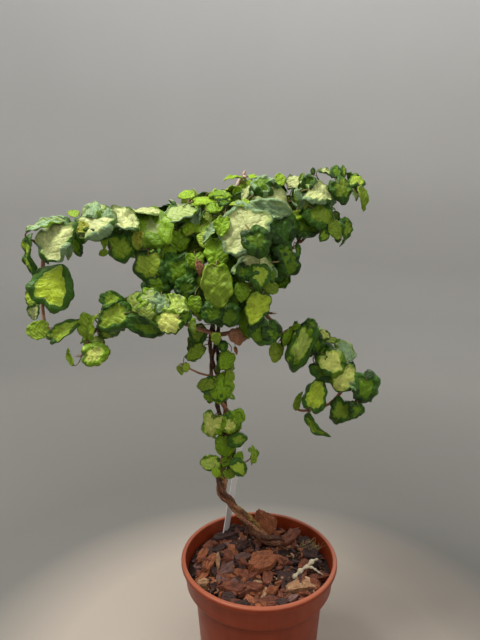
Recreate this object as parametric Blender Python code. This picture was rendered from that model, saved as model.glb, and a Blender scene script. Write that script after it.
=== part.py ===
"""A small variegated fig trained as a standard: a twisted stem and a mop of trailing shoots, in its pot.

Metres, +Z up. The origin is the centre of the pot's flat underside, and the front faces -Y.
Lengths and places are written in millimetres and turned into metres by MM.
"""

import math

import bmesh
import bpy
import numpy as np
from mathutils import Matrix, Vector

MM = 0.001
GAP = 0.3 * MM  # clearance between neighbouring solids

# Pot: a moulded plastic pot with a deep collar, turned about Z.
POT_HEIGHT = 93 * MM
POT_WALL = 1.4 * MM
POT_SEGMENTS = 36
LIP_RADIUS = 52.5 * MM
LIP_DEPTH = 3.5 * MM
COLLAR_DEPTH = 16 * MM
COLLAR_TOP_RADIUS = 51.0 * MM
COLLAR_FOOT_RADIUS = 49.2 * MM
STEP_DEPTH = 2.5 * MM
BODY_TOP_RADIUS = 43.4 * MM
BASE_RADIUS = 38 * MM
BASE_EDGE = 1.5 * MM
DRAIN_HOLES = 5
DRAIN_SIDES = 8
DRAIN_RADIUS = 4 * MM
DRAIN_CIRCLE = 27 * MM
DRAIN_TURN = 13  # of the first hole from +X, in degrees
DRAIN_DEPTH = 4 * POT_WALL

# Bark mix that fills the pot.
MIX_TOP = 83 * MM

# Trunk: one leaning woody foot that forks into three strands wound round each other.
TRUNK_ROUTE = [(30, 23, 74), (17, 22, 84), (4, 20, 92), (-6, 18, 102), (-13, 17, 112), (-20, 16, 122),
               (-25, 16, 132), (-26, 16, 138)]
TRUNK_RADII = [4.6, 4.2, 3.5, 3.2, 3.1, 3.2, 3.7, 3.9]
ROOT_ROUTE = [(-18, 17, 119), (-10, 21, 110), (-2, 26, 98), (3, 30, 84), (5, 32, 74)]
ROOT_RADII = [1.6, 2.1, 2.4, 3.0, 3.6]
FORK_HEIGHT = 132 * MM
STRANDS = 3
STRAND_TURNS = 2.25
STRAND_ROUTE = [(-25.2, 16, 129), (-25.6, 16, 140), (-23, 16, 149), (-20.5, 16, 160), (-21, 16, 176),
                (-24.5, 16, 196), (-29.5, 16, 216), (-30, 15, 235), (-29, 14, 256)]
STRAND_RADII = (1.6, 1.05)  # at the fork and at the crown
WIND_RADII = [2.3, 2.9, 3.1, 3.1, 3.0, 2.9, 2.8, 2.7, 2.6]  # from the stem's middle to each strand's
TUBE_SIDES = 8
STEM_CUTTER_SIDES = 12
ROUTE_STEPS = 3  # points between two places of a route
CUTTER_GAP = 1.4 * GAP  # by which a cutter is larger than its solid; flat facets take part of it

# Boughs and twigs: strand and share of its length where each starts (None where it starts in a mass),
# the places it passes, its radii at both ends, and the masses that it ends in.
BOUGHS = {
    "bough_lower_left": (0, 0.91, [(-32, 5, 245), (-44, -8, 252), (-56, -16, 259)], (1.5, 1.1),
                         ["arm_lower_left_inner"]),
    "bough_lower_right": (1, 0.90, [(-19, 11, 244), (-10, 8, 248), (0, 5, 252)], (1.5, 1.2),
                          ["crown_low_right"]),
    "shoot_left_hook": (None, 0, [(-127.5, -20, 270), (-128.5, -20, 262), (-127.5, -20, 255), (-125, -20, 250)],
                        (1.3, 1.0), ["arm_upper_left_drop", "arm_upper_left_tip"]),
    "shoot_right_hook": (None, 0, [(56, 5, 212), (53, 5, 205), (46, 4, 198), (38, 4, 194.5), (29, 4, 193),
                                   (27.5, 4, 191), (31, 4, 187)],
                         (1.3, 0.9), ["arm_lower_right_bend", "arm_lower_right_outer", "arm_lower_right_curl"]),
    "twig_left": (None, 0, [(-30, 14, 209), (-38, 11, 214), (-45, 9, 217), (-50, 8, 221)], (1.0, 0.8),
                  ["stem_leaves_middle", "twig_left_leaves"]),
    "twig_right": (None, 0, [(-15, 14, 150.5), (-9, 13, 153), (-4, 12, 158)], (0.8, 0.6),
                   ["stem_leaves_foot", "twig_right_leaves"]),
}
BOUGH_START = 0.4  # share of the strand's radius from its middle where a bough starts
BOUGH_NECK = 2 * MM  # by which it stands out of the strand before it bends away

# Foliage masses: centre, half sizes, turn about Y in degrees (positive dips the +X end), lump seed.
MASSES = {
    "crown_top_left": ((-58, 10, 312), (23, 22, 17), 8, 1),
    "crown_top_middle": ((-33, 14, 319), (23, 22, 19), 0, 2),
    "crown_top_right": ((12, 10, 320), (22, 20, 21), 0, 3),
    "crown_front": ((-11, -10, 309), (25, 18, 23), 0, 4),
    "crown_left": ((-58, 9, 287), (21, 21, 19), -12, 5),
    "crown_front_low": ((-25, -5, 277), (24, 18, 23), 0, 6),
    "crown_right": ((9, 9, 294), (19, 19, 21), 0, 7),
    "crown_low_right": ((3, 3, 258), (20, 17, 19), 0, 8),
    "crown_back_left": ((-47, 40, 303), (26, 22, 26), 0, 9),
    "crown_back_right": ((-9, 40, 304), (26, 22, 27), 0, 10),
    "crown_core": ((-33, 20, 268), (24, 21, 20), 0, 11),
    "arm_upper_left_inner": ((-78, -4, 308), (17, 16, 16), 0, 21),
    "arm_upper_left_middle": ((-97, -12, 308), (16, 15, 14), 0, 22),
    "arm_upper_left_outer": ((-115, -18, 304), (15, 14, 13), -30, 23),
    "arm_upper_left_drop": ((-127, -20, 280), (14, 11, 17), 0, 24),
    "arm_upper_left_tip": ((-123, -20, 252.5), (16, 9, 6.5), 0, 25),
    "arm_lower_left_inner": ((-60, -18, 260), (18, 13, 14), -4, 26),
    "arm_lower_left_middle": ((-86, -24, 260), (16, 13, 13), -25, 27),
    "arm_lower_left_tip": ((-100, -26, 240), (13, 10, 9), 0, 28),
    "arm_upper_right_inner": ((34, 0, 333), (15, 14, 14), -10, 29),
    "arm_upper_right_tip": ((53, -2, 331), (11, 10, 15), 0, 30),
    "arm_middle_right": ((39, 1, 312), (17, 13, 12), 18, 31),
    "arm_lower_right_inner": ((27, 8, 238), (14, 12, 15), -15, 32),
    "arm_lower_right_bend": ((49, 6, 222), (13, 12, 16), 0, 33),
    "arm_lower_right_leaf": ((35, 4, 204), (10, 8, 9), 0, 34),
    "arm_lower_right_outer": ((64, 7.5, 201), (13.5, 10, 18), 0, 35),
    "arm_lower_right_curl": ((37, 4, 183), (10, 6, 5), 35, 36),
    "arm_back_left": ((-68, 62, 288), (18, 18, 18), 0, 41),
    "arm_back_left_tip": ((-76, 80, 262), (14, 14, 21), 0, 42),
    "arm_back_right": ((1, 66, 288), (18, 18, 18), 0, 43),
    "arm_back_right_tip": ((6, 84, 261), (14, 14, 22), 0, 44),
    "stem_leaves_upper": ((-42.5, 13, 231), (9, 8.5, 11.5), 0, 51),
    "stem_leaves_front": ((-23, 8, 225), (8.5, 7, 11), 0, 52),
    "stem_leaves_middle": ((-29, 15, 204), (12, 10, 9.5), 0, 53),
    "stem_leaves_lower": ((-24, 15, 177), (14.5, 10.5, 12), 0, 54),
    "stem_leaves_foot": ((-21.5, 16, 150.5), (14, 10, 10), 0, 55),
    "twig_left_leaves": ((-50, 8, 218), (5, 4.5, 8), 0, 56),
    "twig_right_leaves": ((-3.5, 12, 159), (4, 4, 6), 20, 57),
    "shoot_top_middle": ((-13, 9, 338), (10, 8, 6), 0, 58),
    "shoot_top_left": ((-45, 12, 330), (9, 8, 6), 0, 59),
}
STEM_MASSES = "stem_leaves"  # start of the names of masses that the stem passes through
HOOK_MASSES = {"arm_lower_right_leaf": "shoot_right_hook"}  # masses that a shoot passes through
LUMPS = 5  # waves that make a mass uneven
LUMP_HEIGHT = 0.1  # share of the half size
LUMP_RATE = 2.4  # of the waves, over a ball of radius 1
NEIGHBOUR_REACH = 1.35  # masses whose centres are nearer than this share of their reaches are cut apart
NEIGHBOUR_GAP = 0.6 * GAP  # on each side of such a cut
CROWN_GRID = (12, 7)  # segments and rings of a crown mass
ARM_GRID = (9, 6)

# The largest bark chips, resting flat on the mix: centre (x, y), size, turn about Z in degrees, seed.
CHIPS = {
    "bark_chip_back": ((5.5, 40), (22, 9, 20), -12, 1),
    "bark_chip_middle": ((3, 0), (22, 15, 5), 22, 2),
    "bark_chip_left": ((-34, -2), (7, 18, 5), 12, 3),
    "bark_chip_right": ((36, 12), (14, 10, 4), -30, 4),
    "bark_chip_front_right": ((24, -22), (15, 10, 4), 18, 5),
    "bark_chip_front_left": ((-17, -24), (15, 8, 4), -14, 6),
}

CHIP_HALF_WAY = 0.25  # between the middle of a unit cube and its side
CHIP_FOOT = (0.9, 1.0)  # least and most share of the cube's outline, at the foot and at the top
CHIP_TOP = (0.7, 1.0)
CHIP_CORNER = 0.86  # share of it that the corners keep
CHIP_RISE = (0.6, 1.0)  # least and most share of the height

# Plain white plant tag pushed in behind the stem.
TAG_FOOT = (-24, 35)
TAG_TURN = 77  # of its width from +X, in degrees
TAG_LEAN = 9  # towards +X, in degrees
TAG_SIZE = (12, 0.7, 76)
TAG_BURIED = 0.3  # share of its height that is made below the mix and cut away
TAG_CORNER = 0.25  # share of its width that is clipped off each top corner
TAG_CORNER_STEPS = 3

COLOURS = {
    "pot": ((0.42, 0.10, 0.045), 0.45),
    "bark": ((0.13, 0.05, 0.025), 0.9),
    "stem": ((0.17, 0.07, 0.035), 0.8),
    "leaf": ((0.10, 0.25, 0.05), 0.5),
    "tag": ((0.8, 0.8, 0.8), 0.4),
}


def millimetres(values):
    return np.array(values, float) * MM


def material(name):
    """The Principled material of that name, made once."""
    found = bpy.data.materials.get(name)
    if found:
        return found
    colour, roughness = COLOURS[name]
    made = bpy.data.materials.new(name)
    made.use_nodes = True
    shader = made.node_tree.nodes["Principled BSDF"]
    shader.inputs["Base Color"].default_value = (*colour, 1)
    shader.inputs["Roughness"].default_value = roughness
    return made


def add_object(name, mesh, colour):
    obj = bpy.data.objects.new(name, mesh)
    bpy.context.scene.collection.objects.link(obj)
    mesh.materials.append(material(colour))
    return obj


def mesh_from(bm, name):
    """The bmesh as a mesh with its faces pointing out."""
    bmesh.ops.remove_doubles(bm, verts=bm.verts, dist=1e-6)
    bmesh.ops.recalc_face_normals(bm, faces=bm.faces)
    mesh = bpy.data.meshes.new(name)
    bm.to_mesh(mesh)
    bm.free()
    return mesh


def as_cutter(obj):
    obj.hide_render = True
    obj.display_type = "WIRE"
    return obj


def cut_with(obj, cutter):
    """Takes the cutter's volume out of the object."""
    modifier = obj.modifiers.new("cut_" + cutter.name, "BOOLEAN")
    modifier.operation = "DIFFERENCE"
    modifier.solver = "EXACT"
    modifier.object = cutter


def turned(profile, segments):
    """A closed (radius, height) profile spun about Z into a bmesh."""
    bm = bmesh.new()
    verts = [bm.verts.new((radius, 0, height)) for radius, height in profile]
    edges = [bm.edges.new((a, b)) for a, b in zip(verts, verts[1:])]
    bmesh.ops.spin(bm, geom=verts + edges, cent=(0, 0, 0), axis=(0, 0, 1), angle=math.tau, steps=segments)
    return bm


def bisect(bm, place, normal):
    """Keeps what lies behind the plane, and closes the cut."""
    geometry = bm.verts[:] + bm.edges[:] + bm.faces[:]
    cut = bmesh.ops.bisect_plane(bm, geom=geometry, plane_co=place, plane_no=normal, clear_outer=True, dist=1e-7)
    edges = [part for part in cut["geom_cut"] if isinstance(part, bmesh.types.BMEdge)]
    if edges:
        bmesh.ops.holes_fill(bm, edges=edges, sides=0)


# ---- routes and tubes ----

def smooth_route(values):
    """Catmull-Rom through the values, which may be points or single numbers, with ROUTE_STEPS to a span."""
    values = np.array(values, float)
    before, after = 2 * values[:1] - values[1:2], 2 * values[-1:] - values[-2:-1]
    padded = np.concatenate([before, values, after])
    share = np.linspace(0, 1, ROUTE_STEPS, endpoint=False).reshape(-1, *[1] * (values.ndim - 1))
    spans = []
    for a, b, c, d in zip(padded, padded[1:], padded[2:], padded[3:]):
        square, cube = 2 * a - 5 * b + 4 * c - d, 3 * b - a - 3 * c + d
        spans.append(0.5 * (2 * b + (c - a) * share + square * share**2 + cube * share**3))
    return np.concatenate([*spans, values[-1:]])


def tube(points, radii, sides=TUBE_SIDES):
    """A closed tapering tube along the points, by a curve with a bevel and filled caps, as a bmesh."""
    curve = bpy.data.curves.new("tube", "CURVE")
    curve.dimensions = "3D"
    curve.bevel_depth = 1
    curve.bevel_resolution = sides // 2 - 2
    curve.use_fill_caps = True
    spline = curve.splines.new("POLY")
    spline.points.add(len(points) - 1)
    for target, place, radius in zip(spline.points, points, radii):
        target.co = (*place, 1)
        target.radius = radius
    helper = bpy.data.objects.new("tube", curve)
    bpy.context.scene.collection.objects.link(helper)
    mesh = bpy.data.meshes.new_from_object(helper)
    bpy.data.objects.remove(helper)
    bm = bmesh.new()
    bm.from_mesh(mesh)
    bmesh.ops.remove_doubles(bm, verts=bm.verts, dist=1e-6)
    return bm


def strand_lines():
    """The strands' centrelines and radii: helices of one pitch round the stem's middle line."""
    middle = smooth_route(millimetres(STRAND_ROUTE))
    wind = smooth_route(millimetres(WIND_RADII))
    share = np.linspace(0, 1, len(middle))
    radii = (STRAND_RADII[0] + (STRAND_RADII[1] - STRAND_RADII[0]) * share) * MM
    ahead = np.gradient(middle, axis=0)
    ahead /= np.linalg.norm(ahead, axis=1, keepdims=True)
    side = np.cross(ahead, (0, 1, 0))
    side /= np.linalg.norm(side, axis=1, keepdims=True)
    front = np.cross(side, ahead)
    lines = []
    for strand in range(STRANDS):
        angle = math.tau * (STRAND_TURNS * share + strand / STRANDS)
        offset = np.cos(angle)[:, None] * side + np.sin(angle)[:, None] * front
        lines.append(middle + offset * wind[:, None])
    return middle, wind, lines, radii


# ---- pot, bark mix, tag ----

def pot_profile(inset):
    """(radius, height) from the foot to the lip of the pot's outer side, moved in and up by inset."""
    collar_foot = POT_HEIGHT - COLLAR_DEPTH
    return [
        (BASE_RADIUS - BASE_EDGE - inset, inset),
        (BASE_RADIUS - inset, BASE_EDGE + inset),
        (BODY_TOP_RADIUS - inset, collar_foot - STEP_DEPTH + inset),
        (COLLAR_FOOT_RADIUS - inset, collar_foot + inset),
        (COLLAR_TOP_RADIUS - inset, POT_HEIGHT - LIP_DEPTH),
    ]


def build_pot():
    outer = pot_profile(0)
    inner = pot_profile(POT_WALL)
    lip = [(LIP_RADIUS, POT_HEIGHT - LIP_DEPTH), (LIP_RADIUS, POT_HEIGHT - MM), (LIP_RADIUS - MM, POT_HEIGHT),
           (COLLAR_TOP_RADIUS - POT_WALL, POT_HEIGHT)]
    bm = turned([(0, 0), *outer, *lip, *reversed(inner), (0, POT_WALL)], POT_SEGMENTS)
    pot = add_object("pot", mesh_from(bm, "pot"), "pot")
    for hole in range(DRAIN_HOLES):
        bm = bmesh.new()
        bmesh.ops.create_cone(bm, cap_ends=True, segments=DRAIN_SIDES, radius1=DRAIN_RADIUS,
                              radius2=DRAIN_RADIUS, depth=DRAIN_DEPTH)
        angle = math.radians(DRAIN_TURN) + math.tau * hole / DRAIN_HOLES
        place = Vector((math.cos(angle), math.sin(angle), 0)) * DRAIN_CIRCLE
        bm.transform(Matrix.Translation(place))
        cutter = as_cutter(add_object(f"drain_cutter_{hole}", mesh_from(bm, "drain"), "pot"))
        cut_with(pot, cutter)


def build_mix():
    """The mix fills the pot to MIX_TOP, a gap away from its walls."""
    inset = POT_WALL + GAP
    foot, edge, step, collar, lip = pot_profile(inset)
    share = (MIX_TOP - collar[1]) / (lip[1] - collar[1])
    top_radius = collar[0] + (lip[0] - collar[0]) * share
    profile = [(0, inset), foot, edge, step, collar, (top_radius, MIX_TOP), (0, MIX_TOP)]
    bm = turned(profile, POT_SEGMENTS)
    add_object("bark_mix", mesh_from(bm, "bark_mix"), "bark")


def build_tag():
    """A thin strip with clipped top corners, leaning, cut level where it meets the mix."""
    width, thick, height = millimetres(TAG_SIZE)
    bm = bmesh.new()
    bmesh.ops.create_cube(bm, size=1)
    bm.transform(Matrix.Diagonal((width, thick, (1 + TAG_BURIED) * height, 1)))
    corners = []
    for edge in bm.edges:
        first, last = (vert.co for vert in edge.verts)
        if first.z > 0 and last.z > 0 and first.y != last.y:
            corners.append(edge)
    bmesh.ops.bevel(bm, geom=corners, offset=TAG_CORNER * width, segments=TAG_CORNER_STEPS, affect="EDGES")
    top = Matrix.Translation((0, 0, 0.5 * (1 - TAG_BURIED) * height))
    turn = Matrix.Rotation(math.radians(TAG_LEAN), 4, "Y") @ Matrix.Rotation(math.radians(TAG_TURN), 4, "Z")
    foot = Matrix.Translation((*millimetres(TAG_FOOT), MIX_TOP))
    bm.transform(foot @ turn @ top)
    bisect(bm, (0, 0, MIX_TOP + GAP), (0, 0, -1))
    add_object("plant_tag", mesh_from(bm, "plant_tag"), "tag")


def build_chip(name, centre, size, turn, seed):
    """A bark chip: a cube whose upper corners are drawn in unevenly, on its flat side."""
    random = np.random.default_rng(seed)
    bm = bmesh.new()
    bmesh.ops.create_cube(bm, size=1)
    bmesh.ops.subdivide_edges(bm, edges=bm.edges, cuts=1, use_grid_fill=True)
    for vert in bm.verts:
        at_top = vert.co.z > CHIP_HALF_WAY
        at_corner = min(abs(vert.co.x), abs(vert.co.y)) > CHIP_HALF_WAY
        shrink = random.uniform(*(CHIP_TOP if at_top else CHIP_FOOT)) * (CHIP_CORNER if at_corner else 1)
        vert.co.x *= shrink
        vert.co.y *= shrink
        if at_top:
            vert.co.z *= random.uniform(*CHIP_RISE)
    bm.transform(Matrix.Diagonal((*millimetres(size), 1)))
    bm.transform(Matrix.Rotation(math.radians(turn), 4, "Z"))
    height = MIX_TOP + GAP + 0.5 * size[2] * MM
    bm.transform(Matrix.Translation((*millimetres(centre), height)))
    add_object(name, mesh_from(bm, name), "bark")


# ---- wood ----

def build_trunk():
    """The woody foot with its second root, cut flat at the mix's surface, and square at the fork."""
    bm = tube(smooth_route(millimetres(TRUNK_ROUTE)), smooth_route(millimetres(TRUNK_RADII)))
    bisect(bm, (0, 0, MIX_TOP + GAP), (0, 0, -1))
    bisect(bm, (0, 0, FORK_HEIGHT), (0, 0, 1))
    trunk = add_object("trunk", mesh_from(bm, "trunk"), "stem")
    bm = tube(smooth_route(millimetres(ROOT_ROUTE)), smooth_route(millimetres(ROOT_RADII)))
    bisect(bm, (0, 0, MIX_TOP + GAP), (0, 0, -1))
    root = as_cutter(add_object("second_root", mesh_from(bm, "second_root"), "stem"))
    join = trunk.modifiers.new("second_root", "BOOLEAN")
    join.operation = "UNION"
    join.solver = "EXACT"
    join.object = root


def build_strands():
    _, _, lines, radii = strand_lines()
    core = mass_cutter("crown_core")
    for strand, line in enumerate(lines):
        name = f"stem_strand_{strand + 1}"
        bm = tube(line, radii)
        bisect(bm, (0, 0, FORK_HEIGHT + GAP), (0, 0, -1))
        made = add_object(name, mesh_from(bm, name), "stem")
        cut_with(made, core)


def strand_cutter(strand):
    """A strand a gap thicker all round, as a hidden cutter, made once."""
    name = f"cutter_strand_{strand + 1}"
    cutter = bpy.data.objects.get(name)
    if cutter is None:
        _, _, lines, radii = strand_lines()
        cutter = as_cutter(add_object(name, mesh_from(tube(lines[strand], radii + CUTTER_GAP), name), "stem"))
    return cutter


def bough_line(name):
    """The smooth centreline and radii of a bough, which starts inside its strand and leaves it square."""
    strand, share, route, ends, _ = BOUGHS[name]
    points = list(millimetres(route))
    if strand is not None:
        _, _, lines, radii = strand_lines()
        index = round(share * (len(radii) - 1))
        start = lines[strand][index]
        out = points[0] - start
        along = lines[strand][index + 1] - lines[strand][index - 1]
        out -= along * (out @ along) / (along @ along)
        out /= np.linalg.norm(out)
        points = [start + out * BOUGH_START * radii[index], start + out * (radii[index] + BOUGH_NECK), *points]
    line = smooth_route(points)
    return line, np.linspace(ends[0], ends[1], len(line)) * MM


def build_boughs():
    for name, (strand, _, _, _, masses) in BOUGHS.items():
        line, radii = bough_line(name)
        made = add_object(name, mesh_from(tube(line, radii), name), "stem")
        if strand is not None:
            for each in range(STRANDS):
                cut_with(made, strand_cutter(each))
        for mass in masses:
            cut_with(made, mass_cutter(mass))


# ---- foliage ----

def lumpy_ball(name, extra=0.0):
    """A mass before its neighbours' cuts: a ball with seeded waves on it, stretched, turned and put in place."""
    centre, halves, turn, seed = MASSES[name]
    random = np.random.default_rng(seed)
    waves = random.normal(size=(LUMPS, 3)) * LUMP_RATE
    phases = random.uniform(0, math.tau, LUMPS)
    segments, rings = CROWN_GRID if name.startswith("crown") else ARM_GRID
    bm = bmesh.new()
    bmesh.ops.create_uvsphere(bm, u_segments=segments, v_segments=rings, radius=1)
    reach = millimetres(halves) + extra
    for vert in bm.verts:
        way = np.array(vert.co)
        height = 1 + LUMP_HEIGHT * np.sin(waves @ way + phases).sum() / math.sqrt(LUMPS)
        vert.co = Vector(way * height * reach)
    bm.transform(Matrix.Translation(millimetres(centre)) @ Matrix.Rotation(math.radians(turn), 4, "Y"))
    return bm


def mass_cutter(name):
    """The mass a little enlarged, as a hidden cutter, made once."""
    cutter = bpy.data.objects.get("cutter_" + name)
    if cutter is None:
        mesh = mesh_from(lumpy_ball(name, extra=CUTTER_GAP), "cutter_" + name)
        cutter = as_cutter(add_object("cutter_" + name, mesh, "leaf"))
    return cutter


def reach_towards(name, way):
    """How far the mass's ellipsoid goes from its centre in that direction."""
    _, halves, turn, _ = MASSES[name]
    back = np.array(Matrix.Rotation(-math.radians(turn), 3, "Y"))
    return 1 / np.linalg.norm(back @ way / millimetres(halves))


def build_mass(name):
    """The lumpy ball, cut off where each overlapping neighbour begins, and round the wood that passes through."""
    bm = lumpy_ball(name)
    centre = millimetres(MASSES[name][0])
    for other in MASSES:
        between = millimetres(MASSES[other][0]) - centre
        distance = np.linalg.norm(between)
        if other == name:
            continue
        way = between / distance
        mine, theirs = reach_towards(name, way), reach_towards(other, -way)
        if distance < NEIGHBOUR_REACH * (mine + theirs):
            place = centre + way * (distance * mine / (mine + theirs) - NEIGHBOUR_GAP)
            bisect(bm, Vector(place), Vector(way))
    made = add_object(name, mesh_from(bm, name), "leaf")
    if name.startswith(STEM_MASSES):
        cut_with(made, stem_cutter())
    if name in HOOK_MASSES:
        cut_with(made, bough_cutter(HOOK_MASSES[name]))


def stem_cutter():
    """One tube round all three strands."""
    cutter = bpy.data.objects.get("cutter_stem")
    if cutter is None:
        middle, wind, _, radii = strand_lines()
        mesh = mesh_from(tube(middle, wind + radii + GAP, STEM_CUTTER_SIDES), "cutter_stem")
        cutter = as_cutter(add_object("cutter_stem", mesh, "stem"))
    return cutter


def bough_cutter(name):
    line, radii = bough_line(name)
    mesh = mesh_from(tube(line, radii + CUTTER_GAP), "cutter_" + name)
    return as_cutter(add_object("cutter_" + name, mesh, "stem"))


def main():
    for obj in list(bpy.data.objects):
        bpy.data.objects.remove(obj)
    build_pot()
    build_mix()
    build_tag()
    for name, values in CHIPS.items():
        build_chip(name, *values)
    build_trunk()
    build_strands()
    build_boughs()
    for name in MASSES:
        build_mass(name)


main()
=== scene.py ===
"""The looks of a small variegated fig grown as a standard: leaves, shoots, bark, pot and loose bark mix.

Lengths are in millimetres, in the frame of the solids: +Z up, the front towards -Y, the origin under the
pot's centre. A mesh is turned into metres as it is made.
"""

import functools
import math

import bpy
import numpy as np
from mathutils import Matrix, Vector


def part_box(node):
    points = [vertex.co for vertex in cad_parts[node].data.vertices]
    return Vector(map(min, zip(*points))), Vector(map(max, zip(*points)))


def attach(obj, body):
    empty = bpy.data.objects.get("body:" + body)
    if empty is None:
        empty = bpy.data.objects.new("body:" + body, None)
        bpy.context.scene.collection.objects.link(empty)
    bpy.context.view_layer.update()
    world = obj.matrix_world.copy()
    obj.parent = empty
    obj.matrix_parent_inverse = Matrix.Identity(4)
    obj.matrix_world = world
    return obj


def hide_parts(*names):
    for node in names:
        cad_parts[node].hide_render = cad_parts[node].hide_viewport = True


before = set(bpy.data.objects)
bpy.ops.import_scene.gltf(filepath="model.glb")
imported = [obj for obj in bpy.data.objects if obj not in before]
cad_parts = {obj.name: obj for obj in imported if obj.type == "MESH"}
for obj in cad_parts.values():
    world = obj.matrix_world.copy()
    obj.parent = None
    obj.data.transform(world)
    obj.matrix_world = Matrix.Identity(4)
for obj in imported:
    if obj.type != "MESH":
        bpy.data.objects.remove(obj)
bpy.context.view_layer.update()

# ---- tables ----

def table(text):
    """Rows of a table in words, between semicolons or on lines. What starts like a number becomes one."""
    rows = [row.split() for row in text.replace(";", "\n").splitlines()]
    return [[float(word) if word.strip("-")[0].isdigit() else word for word in row] for row in rows if row]


def keyed(text):
    """The rows of a table by their first word."""
    return {name: values for name, *values in table(text)}


MM = 0.001
SEED = 7

# Camera: place, pitch below level, and focal length in pixels of a picture of this size.
VIEW_SIZE = (480, 640)
CAMERA_PLACE = np.array((-12.8, -310.7, 305.0))
CAMERA_PITCH = 9.31
FOCAL_PIXELS = 500
SENSOR = 36

# Pot, a turned shell.
POT_HEIGHT = 93
POT_WALL = 1.4
POT_SIDES = 144
LIP_RADIUS = 52.5
LIP_DEPTH = 3.5
COLLAR_DEPTH = 16
COLLAR_TOP_RADIUS = 51.0
COLLAR_FOOT_RADIUS = 49.2
STEP_DEPTH = 2.5
BODY_TOP_RADIUS = 43.4
BASE_RADIUS = 38
BASE_EDGE = 1.5
DRAIN_HOLES, DRAIN_RADIUS, DRAIN_CIRCLE, DRAIN_TURN, DRAIN_SIDES, DRAIN_CUT = 5, 4, 27, 13, 32, 6

# Bark mix: its level and radius, and the rings and sides of its surface.
MIX_TOP = 83
MIX_RADIUS = 47.9
MIX_RINGS, MIX_SIDES = 40, 120

# Tag: its turn about Z, its lean, and its size and place.
TAG_TURN, TAG_LEAN = 68, 9
TAG_WIDTH, TAG_THICK, TAG_HEIGHT, TAG_CORNER, TAG_BURIED, TAG_BOW = 12, 0.8, 76, 3.2, 6, 1.2
TAG_PLACE = (-24, 35, MIX_TOP)
TAG_SIDES = 48

# Woody foot and its second root: x, y, z and radius at each place.
TRUNK = np.array(table("""
    30 23 74 2.4; 17 22 84 2.3; 4 20 92 1.8; -6 18 102 1.5; -13 17 112 1.4; -20 16 122 1.5; -25 16 132 1.6
    -25.6 16 136 1
"""))
ROOT = np.array(table("-18 17 119 1.6; -10 21 110 2.1; -2 26 98 2.4; 3 30 84 3; 5 32 76 3.4"))
STRANDS = 3
# The strands grow together in the trunk and are wound round each other above it: x, y, z of the middle,
# distance of the strands from it, their radius, and turns from the fork.
WOUND_PLACES = table("""
    36 22 77 0.9 1.1 -2; 26 22 82 1.6 1.7 -1.7; 16 22 86 2 2 -1.35; 4 20 92 1.9 1.75 -1
    -6 18 102 1.75 1.45 -0.75; -13 17 112 1.7 1.35 -0.5; -20 16 122 1.85 1.4 -0.22; -25.2 16 129 2.3 1.5 0
    -25.6 16 140 2.8 1.55 0.28; -23 16 149 3.1 1.5 0.56; -20.5 16 160 3.1 1.5 0.84; -21 16 176 3 1.45 1.12
    -26 16 197 3.3 1.35 1.41; -29.5 16 216 2.8 1.25 1.69; -30 15 235 2.7 1.18 1.97; -29 14 256 2.6 1.1 2.25
""")
CROWN_FOOT = (-29, 14, 256)
# Forms of limbs: sides, rings, depth of the bark's relief over the radius, and length.
TRUNK_FORM = (40, 120, 0.20, 85)
ROOT_FORM = (40, 90, 0.22, 50)
STRAND_FORM = (22, 300, 0.26, 225)
BOUGH_FORM = (14, 60, 0.10, 40)

# Boughs and bare shoots: the radii at both ends, and the places they pass.
BOUGHS = keyed("""
    bough_lower_left 1.6 1.1 -26 12 239 -32 5 245 -44 -8 252 -58 -16 260
    bough_lower_right 1.5 1.2 -27 13 242 -19 11 244 -10 8 248 2 4 253
    shoot_left_hook 1.2 0.9 -126 -20 296 -127.5 -20 284 -128.5 -20 270 -128.5 -20 262 \
        -127.5 -20 255 -124 -20 249.5
    shoot_right_hook 1.25 0.8 50 6 222 56 5 212 53 5 205 46 4 198 38 4 194.5 29 4 193 23 4 194.5
    twig_left 0.9 0.5 -27 14 212 -32 13 214 -40 10 217 -51 8 223
    twig_right 0.6 0.4 -17 14 150.5 -9 13 153 -3.5 12 158
""")

# Vines that carry the leaves: masses by name, or places. Each crown mass also gets one from the stem's top.
VINES = [
    ["crown_top_left", "arm_upper_left_inner", "arm_upper_left_middle", "arm_upper_left_outer",
     (-126, -20, 296)],
    ["crown_left", "arm_lower_left_inner", "arm_lower_left_middle", (-99, -27, 248), (-104, -28, 239)],
    ["crown_top_right", "arm_upper_right_inner", (50, -2, 338), (60, -2, 335)],
    ["crown_right", "arm_middle_right", (48, -1, 306)],
    ["crown_low_right", (14, 6, 246), "arm_lower_right_inner", "arm_lower_right_bend", (56, 5, 212)],
    ["arm_lower_right_bend", (60, 8, 216), "arm_lower_right_outer", (62, 6, 190)],
    ["crown_back_left", "arm_back_left", "arm_back_left_tip"],
    ["crown_back_right", "arm_back_right", "arm_back_right_tip"],
    ["crown_top_middle", (-18, 10, 331), (-11, 9, 343)],
    ["crown_top_left", (-46, 12, 322), (-44.5, 12, 332)],
]

# Bare pale bud tips that stand out: foot, direction and length.
TIP_BUDS = np.array(table("""
    -15 9.4 336 0.45 -0.05 1 9; 59 -2 335 -0.2 0 1 5; -104 -28 238 -1 -0.1 -0.2 5; -50 8 222.5 -1 0 0.1 3.5
"""))

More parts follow.
